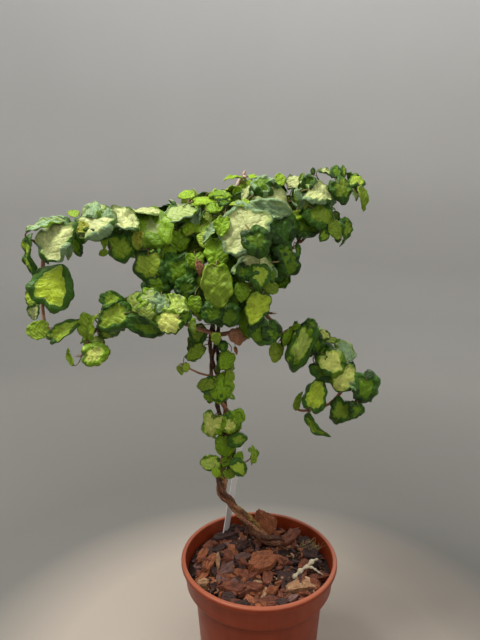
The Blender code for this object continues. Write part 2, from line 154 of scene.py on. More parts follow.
# Barks of the stems, shoots and litter: slot, pitch of the cracks, how fast it darkens away from
# PALE_HEIGHT, and the colours of cracks, skin and ridges.
BARKS = keyed("""
    old_bark stem 9 0 0.024 0.010 0.005 0.20 0.095 0.034 0.56 0.36 0.15
    ochre_root stem 9 0 0.030 0.014 0.004 0.24 0.13 0.025 0.60 0.42 0.11
    strand_bark_1 stem 8 1.5 0.022 0.008 0.004 0.24 0.086 0.038 0.52 0.27 0.14
    strand_bark_2 stem 8 1.5 0.030 0.011 0.006 0.40 0.175 0.078 0.78 0.52 0.31
    strand_bark_3 stem 8 1.5 0.014 0.005 0.003 0.13 0.048 0.023 0.42 0.20 0.10
    red_shoot stem 7 0 0.16 0.055 0.033 0.44 0.20 0.12 0.68 0.44 0.29
    vine_bark stem 7 0 0.09 0.035 0.02 0.21 0.09 0.05 0.36 0.20 0.10
    stalk_skin stem 5 0 0.12 0.06 0.025 0.23 0.17 0.05 0.32 0.32 0.10
    bud_scale stem 5 0 0.48 0.26 0.18 0.70 0.52 0.42 0.85 0.76 0.66
    dry_twig bark 6 0 0.30 0.22 0.13 0.55 0.46 0.32 0.75 0.68 0.52
    frayed_fibre bark 4 0 0.20 0.13 0.05 0.42 0.30 0.13 0.62 0.50 0.28
    rootlet bark 4 0 0.10 0.05 0.03 0.26 0.15 0.09 0.45 0.32 0.2
""")
PALE_HEIGHT = 0.145

# Tints of the bark chips: cracks, wood and worn ridges.
CHIP_TINTS = keyed("""
    chip_red 0.035 0.009 0.005 0.16 0.042 0.018 0.37 0.13 0.055
    chip_orange 0.06 0.015 0.007 0.28 0.080 0.026 0.56 0.22 0.090
    chip_dark 0.008 0.004 0.004 0.040 0.015 0.012 0.12 0.052 0.038
    chip_lilac 0.06 0.026 0.024 0.16 0.078 0.064 0.32 0.18 0.145
    chip_tan 0.15 0.060 0.022 0.38 0.20 0.095 0.72 0.50 0.31
""")
# Chips that stand out: place on the mix (x, y), size, turn, tilt, height of the underside above it, tint.
LEADING_CHIPS = keyed("""
    bark_chip_back 4.5 37 17.5 13 13.5 -33 -20 2 chip_orange
    bark_chip_middle 3 0 24 15 6 40 11 0.4 chip_orange; bark_chip_left -34 -2 20 7.5 5 78 8 0.2 chip_orange
    bark_chip_right 36 12 14 11 4.5 -30 12 0.4 chip_dark
    bark_chip_front_right 24 -22 17 10 4 18 8 0.4 chip_tan
    bark_chip_front_left -17 -24 16 8 4.5 -14 6 0.2 chip_red; left_long -40 9 15 6 4.5 70 14 0.5 chip_orange
    left_pale -28.5 1 17 3.6 4 96 4 1 chip_tan; left_red -21 7 12 7 5 104 15 0.3 chip_red
    lilac -22 -6 13.5 7.5 4.5 38 12 0.6 chip_lilac; grey_flat -10 8 13 9 4 10 6 0.3 chip_lilac
    left_knob -36.5 -18 8 7 5 10 5 0.6 chip_tan; front_pair -4 -22 13 8 5 -20 8 0.5 chip_red
    front_low 4 -34 15 9 4.5 5 14 0.5 chip_red; front_step 7 -25 9 6 5 22 10 0.8 chip_orange
    right_red 40 -12 13 6 4.5 10 9 0.6 chip_red; back_long 24 27 22 9 5 48 14 1.2 chip_red
    back_right 35 24 16 9 4 -50 18 1 chip_dark; back_left -24 29 20 9 6 12 10 0.6 chip_dark
    back_left_edge -35 22 14 8 4 35 12 0.8 chip_red; far_left -16 40 13 8 4 5 10 0.5 chip_dark
""")
SMALL_CHIPS = 1000
SMALL_TINT_SHARES = (0.40, 0.16, 0.28, 0.08, 0.08)
# Sides of the outline, and for each ring its share of the outline and its level, of large and of small chips.
LARGE_CHIP = (60, [(0.7, 0.0), (0.97, 0.05), (1.0, 0.3), (0.99, 0.6), (0.98, 0.85), (0.95, 0.97), (0.88, 1.0),
                   (0.78, 1.0), (0.67, 1.0), (0.56, 1.0), (0.45, 1.0), (0.34, 1.0), (0.23, 1.0), (0.12, 1.0)])
SMALL_CHIP = (16, [(0.6, 0.0), (0.98, 0.05), (1.0, 0.5), (0.96, 0.92), (0.85, 1.0), (0.60, 1.02),
                   (0.30, 1.02)])

# Litter: the dry twig's two routes with the radii along them, and the places of the other pieces.
TWIG_MAIN = table("22 -16 86.2; 27 -12 88.2; 31 -9.5 89.4; 36 -5 90.5; 40 -2 90"), (1.2, 1.5, 1.0, 1.3, 0.4)
TWIG_FORK = table("31 -9.5 89.4; 35 -10.5 89.6; 39 -13 88.2; 42 -14 86.6"), (1.0, 0.8, 0.5, 0.2)
TUFT_PLACE, TUFT_FIBRES, TUFT_HEIGHT = (35.5, 17, 84.6), 46, 5.5
ROOTLETS, ROOTLET_REACH, ROOTLET_LIFT = 60, 44, 1.6

# Colours of the leaves' skin, and the two shades of each. The skin deep is painted shade, for leaves in the
# crown's shadow.
# The skin grey is partly the leaves' own grey-green and partly a painted sheen of sky light on their margins.
SKIN = keyed("""
    cream 0.52 0.58 0.235; bright 0.38 0.51 0.085; lime 0.32 0.45 0.04; gold 0.38 0.5 0.03
    yellow 0.37 0.41 0.045; olive 0.21 0.32 0.022; leaf 0.19 0.34 0.012; pale 0.32 0.42 0.125
    grey 0.22 0.34 0.16; moss 0.115 0.22 0.009; dark 0.045 0.12 0.011; deep 0.024 0.06 0.01
    young 0.28 0.46 0.02; glow 0.56 0.62 0.14; rust 0.32 0.145 0.075; under 0.19 0.3 0.06
""")
SHADES = (0.88, 1.12)
# Each kind of leaf: skin of its centre, of the band round it, of its margin, of the other parts of its
# margin and of its underside; the share of the blade that the centre takes, how uneven that is, and how
# much the skins are mixed.
LEAF_KINDS = keyed("""
    cream cream pale dark grey under 0.78 0.24 0.03; wide cream pale grey grey under 0.88 0.14 0
    bright bright lime moss dark under 0.78 0.26 0.1; lime lime olive dark dark under 0.6 0.24 0.02
    lit gold lime dark moss under 0.74 0.12 0.02; heart gold lime dark dark under 0.6 0.04 0
    glow glow bright dark moss under 0.74 0.3 0.04; core glow bright leaf moss under 0.56 0.24 0.1
    clouded leaf moss dark leaf under 0.62 0.3 0.2; rimmed olive olive dark moss under 0.72 0.14 0
    hazy pale grey grey leaf under 0.8 0.14 0; soft bright leaf dark dark under 0.55 0.26 0.06
    moss olive moss dark dark under 0.56 0.3 0.02; mottled pale leaf moss dark under 0.7 0.34 0.18
    dappled bright pale leaf moss under 0.74 0.34 0.14; grey grey pale grey moss under 0.7 0.25 0.04
    sage moss grey grey dark under 0.5 0.25 0.03; pale pale leaf leaf moss under 0.5 0.3 0.05
    veiled pale leaf leaf moss under 0.3 0.4 0.06; ivory cream cream cream pale pale 0.85 0.1 0
    green leaf leaf leaf moss under 0.84 0.15 0; dark moss dark dark deep moss 0.5 0.3 0.02
    shaded dark deep deep dark deep 0.5 0.3 0.02; olive olive olive leaf olive under 0.75 0.2 0.02
    yellow yellow yellow olive yellow under 0.78 0.2 0.02
    plain_lime lime olive lime leaf under 0.84 0.15 0.02; young young young young lime bright 0.8 0.2 0
    dead rust rust rust rust rust 0.7 0.2 0
""")
# Each shape of blade: width over length, tip, notch at the stalk, roll of the margin, fold along the
# midrib, doming, bend of the tip, crinkle.
LEAF_SHAPES = keyed("""
    round 0.95 0.05 0.12 0.9 0.12 0.2 0.25 0.026; broad 0.98 0.05 0.1 0.4 0.1 0.18 0.15 0.016
    plain 0.84 0.06 0.06 0.35 0.05 0.16 0.12 0.02; oval 0.74 0.06 0.08 0.8 0.12 0.2 0.2 0.024
    long 0.6 0.07 0.05 0.9 0.32 0.1 0.25 0.026; flat 0.8 0.08 0.08 0.4 0.05 0.1 0.15 0.02
    folded 0.86 0.06 0.12 0.7 0.6 0.05 0.3 0.03; narrow 0.5 0.12 0.03 0.5 0.55 0.05 0.35 0.022
    cupped 0.96 0.04 0.14 1.2 0.05 0.55 0.2 0.034
""")
# Sides of a blade, and the rings in its patch and outside it.
LEADING_GRID = (44, (0.25, 0.5, 0.75, 1.0), (0.0, 0.25, 0.5, 0.78, 1.0))
STREWN_GRID = (30, (0.4, 0.75, 1.0), (0.0, 0.4, 0.75, 1.0))
BLADE_THICKNESS = 0.32
ROLL_START = 0.60

# Leaves that lead, from the back to the front in each spray. The number is how far the last of a spray is
# lifted towards the camera. Then, for each: where it shows in the camera's picture (x, y), its length there
# in pixels, the way its tip points there (0 right, 90 up), how far its face is turned right and tilted up
# from facing the front, its kind and its shape, and for some how much nearer they are than their order sets
# them.
LEADING_LEAVES = {
    "crown": (11, """
    146 210 32 2 0 74 ivory flat; 152 228 42 -50 -12 30 veiled plain; 176 221 16 -90 0 -10 dark round -6
    168 242 26 -80 -10 10 dark round; 153 243 14 -60 0 10 olive plain; 137 240 19 -95 -20 10 yellow plain
    178 212 38 -146 -10 48 hazy flat; 203 222 27 170 0 35 green round; 197 217 18 -80 -30 20 grey folded
    187 216 19 60 0 30 lime folded; 199 235 16 -30 0 40 mottled folded; 208 216 13 -70 0 10 bright plain
    186 238 24 -95 -20 0 olive narrow; 210 232 27 -122 -20 25 grey narrow; 215 207 18 10 0 40 green round
    224 202 12 0 0 30 dark round; 207 200 27 5 0 60 young flat; 221 193 26 8 0 68 green flat
    186 194 17 178 -5 45 young plain; 195 248 29 -142 -15 22 plain_lime narrow 7
    247 192 19 80 -20 30 cream narrow; 240 203 21 170 0 62 young flat; 233 178 20 174 0 68 young narrow
    253 176 9 20 0 50 young plain; 280 179 13 90 0 20 young plain; 294 181 16 80 -10 30 cream round
    284 230 38 -60 20 5 shaded round; 298 227 23 -20 25 0 shaded round; 264 236 25 -60 20 5 dark round
    295 217 21 -155 10 30 olive narrow; 299 236 10 -90 20 0 olive plain; 297 252 17 -75 45 0 dark narrow
    301 197 19 -90 20 20 grey folded; 285 254 27 -80 25 10 dark round; 290 264 31 -85 15 5 dark round
    272 196 48 -12 5 38 cream cupped; 272 209 46 -5 5 5 grey narrow; 262 183 26 172 0 26 sage cupped 10
    243 229 55 -115 -12 22 wide broad; 257 241 33 -60 8 14 dark round 10; 217 253 32 -90 0 20 green plain
    179 240 22 -80 0 14 green round; 190 227 19 -110 -10 24 young plain; 168 256 21 -95 -10 8 green plain
    196 262 22 -80 0 8 green round; 205 240 17 -60 0 20 plain_lime plain; 222 226 20 -100 -10 20 green folded
    178 271 38 -88 -10 5 dark round; 158 286 29 -70 0 0 dark round; 186 290 27 -100 10 0 dark round
    148 268 38 -92 -10 8 lime round; 200 269 18 -75 10 10 dead narrow 5; 243 273 20 -110 -10 0 dark cupped 9
    252 264 44 -165 0 42 cream flat 3; 273 275 17 -80 25 10 sage cupped 10; 260 276 26 -90 0 14 lime plain 18
    272 288 16 -30 15 0 olive plain; 242 292 21 -100 0 5 green plain; 228 316 29 -80 0 0 dark round
    212 314 25 -100 -5 0 dark round; 263 333 32 -120 5 0 dark round; 273 333 25 -60 20 5 dark round
    257 308 37 -112 5 20 lit oval; 195 305 19 -90 0 5 green plain; 193 327 19 -85 -10 5 pale narrow
    198 334 23 -80 0 0 moss plain; 148 328 45 -42 10 -28 dark narrow; 160 303 23 -100 10 20 grey cupped
    136 302 25 -150 -10 20 dappled cupped; 150 297 25 -40 0 35 mottled round
    147 311 21 -90 0 10 dappled round; 176 304 29 -20 5 30 dappled cupped; 168 321 33 -160 0 14 glow cupped
    185 317 18 -80 20 5 dark round; 217 286 47 -88 0 4 olive oval; 238 337 20 -80 10 0 dead round
    236 351 9 -80 0 0 dead narrow; 216 339 13 -90 0 0 olive plain; 223 347 13 -80 0 0 dark plain
    """),
    "upper_left": (6, """
    104 239 19 -90 20 10 olive narrow; 77 247 26 -80 15 -20 dark narrow; 121 246 33 -85 0 8 moss round
    123 221 32 -35 0 42 cream folded; 114 227 12 -90 30 0 dark plain; 103 253 9 -160 0 0 olive plain
    97 235 27 -10 5 -10 dark narrow; 92 222 48 -150 -5 36 cream round; 95 207 27 8 0 52 grey cupped 8
    106 214 21 -30 10 30 grey cupped 6; 73 213 10 150 0 40 young plain; 55 238 48 -118 -22 28 cream round
    69 248 23 -100 15 5 grey narrow; 47 225 38 28 -20 55 grey narrow; 80 227 16 170 -5 15 yellow plain
    30 257 44 -82 -50 0 lime narrow; 31 298 18 -120 -20 10 lime round; 34 312 16 -110 -10 0 cream folded
    37 330 21 -170 0 10 olive plain; 52 286 46 63 0 14 heart broad; 64 330 36 35 -10 10 lime narrow
    """),
    "lower_left": (3, """
    112 301 24 35 0 40 moss folded; 88 328 28 -100 -25 8 olive folded; 112 318 42 -160 -5 16 lime oval
    95 354 27 8 0 16 core broad; 70 357 18 125 -30 0 olive narrow
    """),
    "upper_right": (5, """
    302 176 10 60 0 20 pale narrow; 313 171 7 90 0 0 dark plain; 328 173 21 -28 0 42 cream narrow
    336 171 13 80 0 20 dark plain; 343 171 14 80 10 10 moss narrow; 308 184 17 -120 0 20 dark folded
    306 203 16 -100 -20 20 bright narrow; 306 223 33 -40 10 0 dark round; 319 192 33 -8 5 35 cream round
    336 230 19 -70 10 5 olive plain; 324 236 13 -120 0 0 moss plain; 322 215 35 -30 10 10 moss round
    346 232 29 -72 35 0 moss narrow; 342 190 28 -60 12 12 moss round; 363 198 25 -75 30 10 olive narrow
    """),
    "lower_right": (6, """
    298 328 19 175 0 30 green narrow; 287 338 19 -110 -15 10 green narrow
    276 352 21 -100 -10 20 plain_lime plain; 311 326 20 70 10 18 dark cupped 4
    317 345 20 -80 25 0 dark folded; 301 347 56 -113 -8 18 soft long; 325 334 13 100 0 35 glow plain
    333 341 18 -10 0 40 bright narrow; 324 352 26 150 -15 20 dark cupped; 346 350 26 -20 15 38 grey cupped
    324 369 29 -30 -15 5 dark round; 352 369 15 -80 40 0 dark plain; 357 384 18 -70 25 20 grey cupped 5
    333 361 30 -50 0 34 glow cupped; 344 377 32 -92 0 24 glow cupped; 298 401 18 80 -30 10 olive narrow
    316 395 36 70 -5 20 heart oval; 315 427 32 -38 -50 -10 moss narrow; 357 411 20 -90 15 0 dark round
    367 388 34 -85 20 8 dark round; 341 412 29 -108 0 8 moss round
    """),
    "stem": (8, """
    195 353 25 -138 -10 12 rimmed oval; 186 368 10 -95 0 0 plain_lime plain; 226 361 21 -120 5 8 green plain
    230 378 15 -100 30 5 olive plain; 220 389 31 -75 5 8 clouded cupped; 205 385 19 -168 -20 14 rimmed flat 4
    231 396 12 -40 20 0 pale narrow; 236 421 25 -80 25 8 clouded round; 229 426 19 -110 0 8 core cupped
    212 426 30 -100 -8 12 core cupped; 238 440 21 8 15 12 moss oval; 225 447 23 -83 0 4 green plain 6
    216 473 10 -80 0 0 young plain; 210 463 20 178 0 16 bright plain; 239 457 12 60 10 20 green plain
    239 468 21 -60 8 8 lime plain; 254 455 16 75 30 5 olive narrow
    """),
}
# Where the sky shows between the sprays: places in the camera's picture and radii, in pixels.
SKY_GAPS = np.array(table("""
    278 306 13; 166 265 6; 173 297 4; 95 272 30; 309 250 12; 205 346 6; 212 331 3; 328 398 9; 346 397 8
    351 211 9; 183 380 6; 75 345 7; 38 254 8; 62 314 11; 362 412 7; 322 178 6; 22 284 8; 300 372 14; 290 405 4
    262 355 10; 246 405 14; 314 425 8; 279 318 5
"""))

# Strewn leaves by the start of a mass's name: mean length, spacing over length, and the shares of the kinds.
SPRAYS = keyed("""
    crown_top 19 0.48 cream 0.26 lime 0.1 green 0.26 dark 0.16 young 0.14 grey 0.08
    crown_front 18 0.48 cream 0.08 lime 0.12 green 0.3 dark 0.4 mottled 0.1
    crown_back 19 0.5 cream 0.18 lime 0.16 green 0.26 dark 0.22 grey 0.08 mottled 0.1
    crown 18 0.48 lime 0.14 green 0.26 dark 0.52 mottled 0.08
    arm_upper_left 16 0.55 cream 0.3 lime 0.26 dark 0.3 grey 0.14
    arm_upper_right 15 0.55 cream 0.2 lime 0.26 dark 0.38 grey 0.16
    arm_lower 15 0.58 lime 0.3 dark 0.42 bright 0.28
    arm 17 0.52 cream 0.22 lime 0.28 dark 0.26 green 0.14 grey 0.1
    stem_leaves 11 0.62 lime 0.2 green 0.55 olive 0.25
    shoot 10 0.7 young 1
    twig 8 0.8 young 0.4 green 0.6
""")
STREWN_SHAPES = {"round": 0.46, "cupped": 0.16, "folded": 0.18, "plain": 0.14, "narrow": 0.06}
# The outer layer of leaves and the one behind it: their share of the mass's half size, and how much wider
# they stand.
SHELLS = ((0.80, 1), (0.46, 1.35))
TRIES = 260
BLADE_REACH = 0.42  # how far a leaf is taken to spread round its middle, over its length
LEAD_ROOM = 7  # how far behind a leading leaf a strewn one beside it has to be
# Sprays that make one piece each, by the starts of the masses' names.
PIECES = {
    "crown_front": ("crown_front", "crown_core", "crown_low"), "crown_top": ("crown_top", "shoot_top"),
    "crown_sides": ("crown_left", "crown_right"), "crown_back": ("crown_back",), "back_arms": ("arm_back",),
    "left_arms": ("arm_upper_left", "arm_lower_left"),
    "right_arms": ("arm_upper_right", "arm_middle", "arm_lower_right"), "stem": ("stem_leaves", "twig"),
}

# Rings and sides of the vines and of the twigs that fan out from them, and how many twigs a mass has, by
# the first word of its name.
VINE_RINGS, VINE_SIDES = 60, 8
TWIG_RINGS, TWIG_SIDES = 24, 6
TWIGS = {"crown": 9, "arm": 2}
TWIG_SPREAD = 0.52
LEAFLESS_REACH = 6  # a twig's end is never further than this from a leaf
STALK_RINGS = 10

# Soft lamps: place, size, power, colour. All aim at one place.
LAMP_AIM = (-0.02, 0.0, 0.24)
LAMPS = [
    ("key", (-0.40, -0.15, 1.05), 0.36, 10, (1.0, 0.97, 0.92)),
    ("front", (0.5, -0.9, 0.7), 0.8, 2.4, (1.0, 0.98, 0.95)),
    ("back", (0.5, 1.0, 0.9), 0.8, 3, (1.0, 0.98, 0.95)),
]
AMBIENT = 0.60
# The floor round the plant has one shade. Between the two distances of FLOOR_EDGE, in metres, it gives way
# to the shades of WALL_SHADES, which go by distance from the plant. These shades are partly painted light:
# the floor is paler round the plant and greyer away from it, and the backdrop is painted paler towards its
# top, in place of the lamps' light that falls off there.
WALL_SHADES = table("""
    0.15 0.165 0.162 0.150; 0.38 0.285 0.281 0.264; 0.61 0.345 0.341 0.325; 0.80 0.50 0.495 0.48
    1.0 0.95 0.95 0.95
""")
FLOOR_SHADE = (0.40, 0.35, 0.30)
FLOOR_EDGE = (0.150, 0.235)


# ---- numbers ----

def smooth_route(values, count):
    """Catmull-Rom curve through the values, read at `count` places evenly along its length."""
    values = np.array(values, float)
    if len(values) == 2:
        values = np.stack([values[0], values.mean(0), values[1]])
    padded = np.concatenate([2 * values[:1] - values[1:2], values, 2 * values[-1:] - values[-2:-1]])
    share = np.linspace(0, 1, 24, endpoint=False)[:, None]
    a, b, c, d = padded[:-3, None], padded[1:-2, None], padded[2:-1, None], padded[3:, None]
    spans = 2 * b + (c - a) * share + (2 * a - 5 * b + 4 * c - d) * share**2
    spans = 0.5 * (spans + (3 * b - a - 3 * c + d) * share**3)
    fine = np.concatenate([spans.reshape(-1, values.shape[1]), values[-1:]])
    length = np.concatenate([[0], np.cumsum(np.linalg.norm(np.diff(fine, axis=0), axis=1))])
    even = np.linspace(0, length[-1], count)
    return np.stack([np.interp(even, length, column) for column in fine.T], -1)


def spread_values(values, count):
    """The values read at `count` even places, straight between them."""
    return np.interp(np.linspace(0, 1, count), np.linspace(0, 1, len(values)), values)


def unit(vectors):
    return vectors / np.linalg.norm(vectors, axis=-1, keepdims=True)


def full_turn(count):
    """Angles spread evenly round a circle."""
    return np.linspace(0, math.tau, count, endpoint=False)


def circle(radius, angle):
    """Points on a circle: (radius * cos, radius * sin)."""
    return np.stack([radius * np.cos(angle), radius * np.sin(angle)], -1)


def ripples(angle, orders, rng, copies=None):
    """Sum of cosines of whole orders of the angle, random in height and phase, about 1 high.
    With copies it gives that many different rows, as (copies, 1, angles)."""
    rows = 1 if copies is None else copies
    height = rng.uniform(0.4, 1, (rows, len(orders), 1))
    phase = rng.uniform(0, math.tau, (rows, len(orders), 1))
    waves = height * np.cos(np.array(orders)[:, None] * angle + phase)
    total = waves.sum(1, keepdims=True) / np.sqrt(len(orders))
    return total[0, 0] if copies is None else total


def lumps(points, pitch, rng, count=7):
    """Smooth uneven heights over points, about 1 high: sines of about this pitch along random directions."""
    directions = unit(rng.normal(size=(count, points.shape[-1])))
    rate = math.tau / (pitch * rng.uniform(0.6, 1.6, count))
    phase = rng.uniform(0, math.tau, count)
    return np.sin(points @ (directions * rate[:, None]).T + phase).sum(-1) / math.sqrt(count)


# ---- meshes ----

def closed_faces(rings, sides, copies=1):
    """Faces of closed surfaces whose points come as a pole, rings from it to the other pole, and that pole.
    Returns triangles at the first pole, quads between rings, and triangles at the last pole."""
    around = np.arange(sides)
    after = (around + 1) % sides
    ring = 1 + sides * np.arange(rings)[:, None]
    corners = (ring[:-1] + around, ring[:-1] + after, ring[1:] + after, ring[1:] + around)
    quads = np.stack(corners, -1).reshape(-1, 4)
    first = np.stack([np.zeros(sides, int), 1 + after, 1 + around], -1)
    last_ring = 1 + sides * (rings - 1)
    last = np.stack([np.full(sides, 1 + sides * rings), last_ring + around, last_ring + after], -1)
    shift = (2 + sides * rings) * np.arange(copies)[:, None, None]
    return [(block + shift).reshape(-1, block.shape[1]) for block in (first, quads, last)]


def closed_points(first, rings, last):
    """Points in the order that closed_faces reads: (copies, 3), (copies, rings, sides, 3), (copies, 3)."""
    copies = len(rings)
    return np.concatenate([first[:, None], rings.reshape(copies, -1, 3), last[:, None]], 1)


def make_piece(name, points, faces, finishes, nodes=(), slots=None, sharp=None, uv=None):
    """A mesh object at the origin from points in millimetres and blocks of faces. slots gives a finish's
    index for each face, uv a coordinate for each point. It rides on the plant and stands for the nodes."""
    mesh = bpy.data.meshes.new(name)
    points = np.ascontiguousarray(points.reshape(-1, 3) * MM, np.float32)
    sizes = np.concatenate([np.full(len(block), block.shape[1]) for block in faces])
    loops = np.concatenate([block.ravel() for block in faces]).astype(np.int32)
    mesh.vertices.add(len(points))
    mesh.vertices.foreach_set("co", points.ravel())
    mesh.loops.add(len(loops))
    mesh.loops.foreach_set("vertex_index", loops)
    mesh.polygons.add(len(sizes))
    mesh.polygons.foreach_set("loop_start", (np.cumsum(sizes) - sizes).astype(np.int32))
    for finish in finishes:
        mesh.materials.append(finish.material)
    if slots is not None:
        mesh.polygons.foreach_set("material_index", slots.astype(np.int32))
    mesh.update(calc_edges=True)
    mesh.shade_smooth()
    if sharp:
        mesh.set_sharp_from_angle(angle=math.radians(sharp))
    if uv is not None:
        layer = mesh.uv_layers.new(name="grain")
        layer.data.foreach_set("uv", uv[loops].astype(np.float32).ravel())
    piece = bpy.data.objects.new(name, mesh)
    bpy.context.scene.collection.objects.link(piece)
    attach(piece, "root")
    if nodes:
        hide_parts(*nodes)
    return piece


def tubes(paths, radii, sides, relief=1):
    """Points and faces of closed tubes along paths (tubes, rings, 3): path + radius * (cos a * side +
    sin a * up), with side and up carried along without twist. relief multiplies the radius for each tube,
    ring and angle."""
    radii = np.broadcast_to(radii, paths.shape[:2])
    along = unit(np.gradient(paths, axis=1))
    side = np.cross(along[:, 0], (0.31, 0.87, 0.38))
    frames = []
    for ahead in np.moveaxis(along, 1, 0):
        side = unit(side - (side * ahead).sum(-1, keepdims=True) * ahead)
        frames.append(side)
    side = np.stack(frames, 1)[:, :, None]
    up = np.cross(along, side[:, :, 0])[:, :, None]
    angle = full_turn(sides)[:, None]
    reach = np.broadcast_to(radii[..., None] * relief, (*radii.shape, sides))[..., None]
    rings = paths[:, :, None] + reach * (np.cos(angle) * side + np.sin(angle) * up)
    first = paths[:, 0] - along[:, 0] * radii[:, :1] * 0.5
    last = paths[:, -1] + along[:, -1] * radii[:, -1:] * 0.5
    return closed_points(first, rings, last), closed_faces(paths.shape[1], sides, len(paths))


def tube_piece(name, paths, radii, sides, bark, length, nodes=(), relief=1):
    """Tubes as one piece in a bark of BARKS. Its map has u round the tube and back, so that it has no seam,
    and v along it, and is moved on from tube to tube."""
    copies, rings = paths.shape[:2]
    around = np.abs(np.linspace(-1, 1, sides, endpoint=False))
    along = np.linspace(0, length / 6, rings)
    grid = np.stack(np.broadcast_arrays(around, along[:, None]), -1).reshape(-1, 2)
    one = np.concatenate([[(0.5, 0)], grid, [(0.5, length / 6)]])
    grain = np.tile(one, (copies, 1)) + np.repeat(np.arange(copies), len(one))[:, None] * 3.7
    points, faces = tubes(paths, radii, sides, relief)
    make_piece(name, points, faces, [bark_finish(bark)], nodes, uv=grain)


def turned(profile, sides, relief=0):
    """Points and faces of a closed turned shape: profile is (radius, height) from pole to pole. relief is
    added to the heights, one for each ring and angle."""
    profile = np.array(profile, float)
    radius, height = profile[1:-1, :1], profile[1:-1, 1:]
    height = np.broadcast_to(height, (len(radius), sides)) + relief
    rings = np.concatenate([circle(radius, full_turn(sides)), height[..., None]], -1)
    first, last = ([(0, 0, end[1])] for end in (profile[0], profile[-1]))
    return closed_points(np.array(first), rings[None], np.array(last)), closed_faces(len(radius), sides)


def arc(centre, radius, start, stop, count):
    """Points of an arc in the (radius, height) plane, angles in degrees."""
    return list(np.array(centre) + circle(radius, np.radians(np.linspace(start, stop, count))))


# ---- finishes ----

class Field:
    """A socket of a finish's tree, so that shader maths reads as arithmetic."""

    def __init__(self, finish, socket):
        self.finish = finish
        self.socket = socket

    __add__ = __radd__ = lambda self, other: self.finish.maths("ADD", self, other)
    __sub__ = lambda self, other: self.finish.maths("SUBTRACT", self, other)
    __rsub__ = lambda self, other: self.finish.maths("SUBTRACT", other, self)
    __mul__ = __rmul__ = lambda self, other: self.finish.maths("MULTIPLY", self, other)
    __pow__ = lambda self, other: self.finish.maths("POWER", self, other)
    __abs__ = lambda self: self.finish.maths("ABSOLUTE", self, 0)

    def split(self):
        """The parts of a vector."""
        made = self.finish.node("SeparateXYZ", {}, {0: self}).socket.node
        return [Field(self.finish, part) for part in made.outputs]


class Finish:
    """A material and its Principled shader."""

    def __init__(self, name, colour, roughness, specular=0.5):
        self.material = bpy.data.materials.new(name)
        self.material.use_nodes = True
        self.tree = self.material.node_tree
        self.shader = self.tree.nodes["Principled BSDF"]
        self.set("Base Color", (*colour, 1))
        self.set("Roughness", roughness)
        self.set("Specular IOR Level", specular)

    def set(self, socket, value):
        """Sets or links a socket of the shader."""
        self.fill(self.shader.inputs[socket], value)

    def fill(self, socket, value):
        if isinstance(value, Field):
            self.tree.links.new(value.socket, socket)
        else:
            socket.default_value = value

    def node(self, kind, settings, inputs, output=0):
        """Adds a shader node: its settings first, then the values or links of its sockets."""
        made = self.tree.nodes.new("ShaderNode" + kind)
        for key, value in settings.items():
            if key == "stops":
                elements = made.color_ramp.elements
                while len(elements) < len(value):
                    elements.new(1)
                for stop, (place, colour) in zip(elements, value):
                    stop.position = place
                    stop.color = (*colour, 1)
            else:
                setattr(made, key, value)
        for key, value in inputs.items():
            self.fill(made.inputs[key], value)
        return Field(self, made.outputs[output])

    def maths(self, operation, first, second):
        """A sum or other operation of two values."""
        return self.node("Math", {"operation": operation}, {0: first, 1: second})

    def place(self, stretch=(1, 1, 1), own="Object"):
        """Coordinates of the piece in metres, or its own map, stretched."""
        source = self.node("TexCoord", {}, {}, {"Object": 3, "UV": 2}[own])
        return self.node("Mapping", {}, {"Vector": source, "Scale": stretch})

    def noise(self, scale, detail=3, rough=0.5, stretch=(1, 1, 1), own="Object"):
        """Noise from 0 to 1 at this scale."""
        inputs = {"Vector": self.place(stretch, own), "Scale": scale, "Detail": detail, "Roughness": rough}
        return self.node("TexNoise", {}, inputs)

    def ramp(self, field, *stops):
        """Colours by the field's value."""
        return self.node("ValToRGB", {"stops": stops}, {"Fac": field})

    def steps(self, field, low, high):
        """0 below low, 1 above high, straight between."""
        return self.node("MapRange", {}, {"Value": field, "From Min": low, "From Max": high})

    def mix(self, share, first, second):
        """Mixes two colours."""
        inputs = {0: share}
        for key, value in ((6, first), (7, second)):
            inputs[key] = value if isinstance(value, Field) else (*value, 1)
        return self.node("Mix", {"data_type": "RGBA"}, inputs, 2)

    def bump(self, height, distance, strength=1.0):
        """Bump of this height in metres on the shader's normal."""
        inputs = {"Strength": strength, "Distance": distance, "Height": height}
        self.set("Normal", self.node("Bump", {}, inputs))

    def wood(self, shade, colours, stops, patches, rough):
        """Cracks, plain wood and worn ridges by shade, and a roughness by patches."""
        self.set("Base Color", self.ramp(shade, *zip(stops, (colours[:3], colours[3:6], colours[6:]))))
        self.set("Roughness", self.steps(patches, 0.3, 0.7) * rough + 0.65)


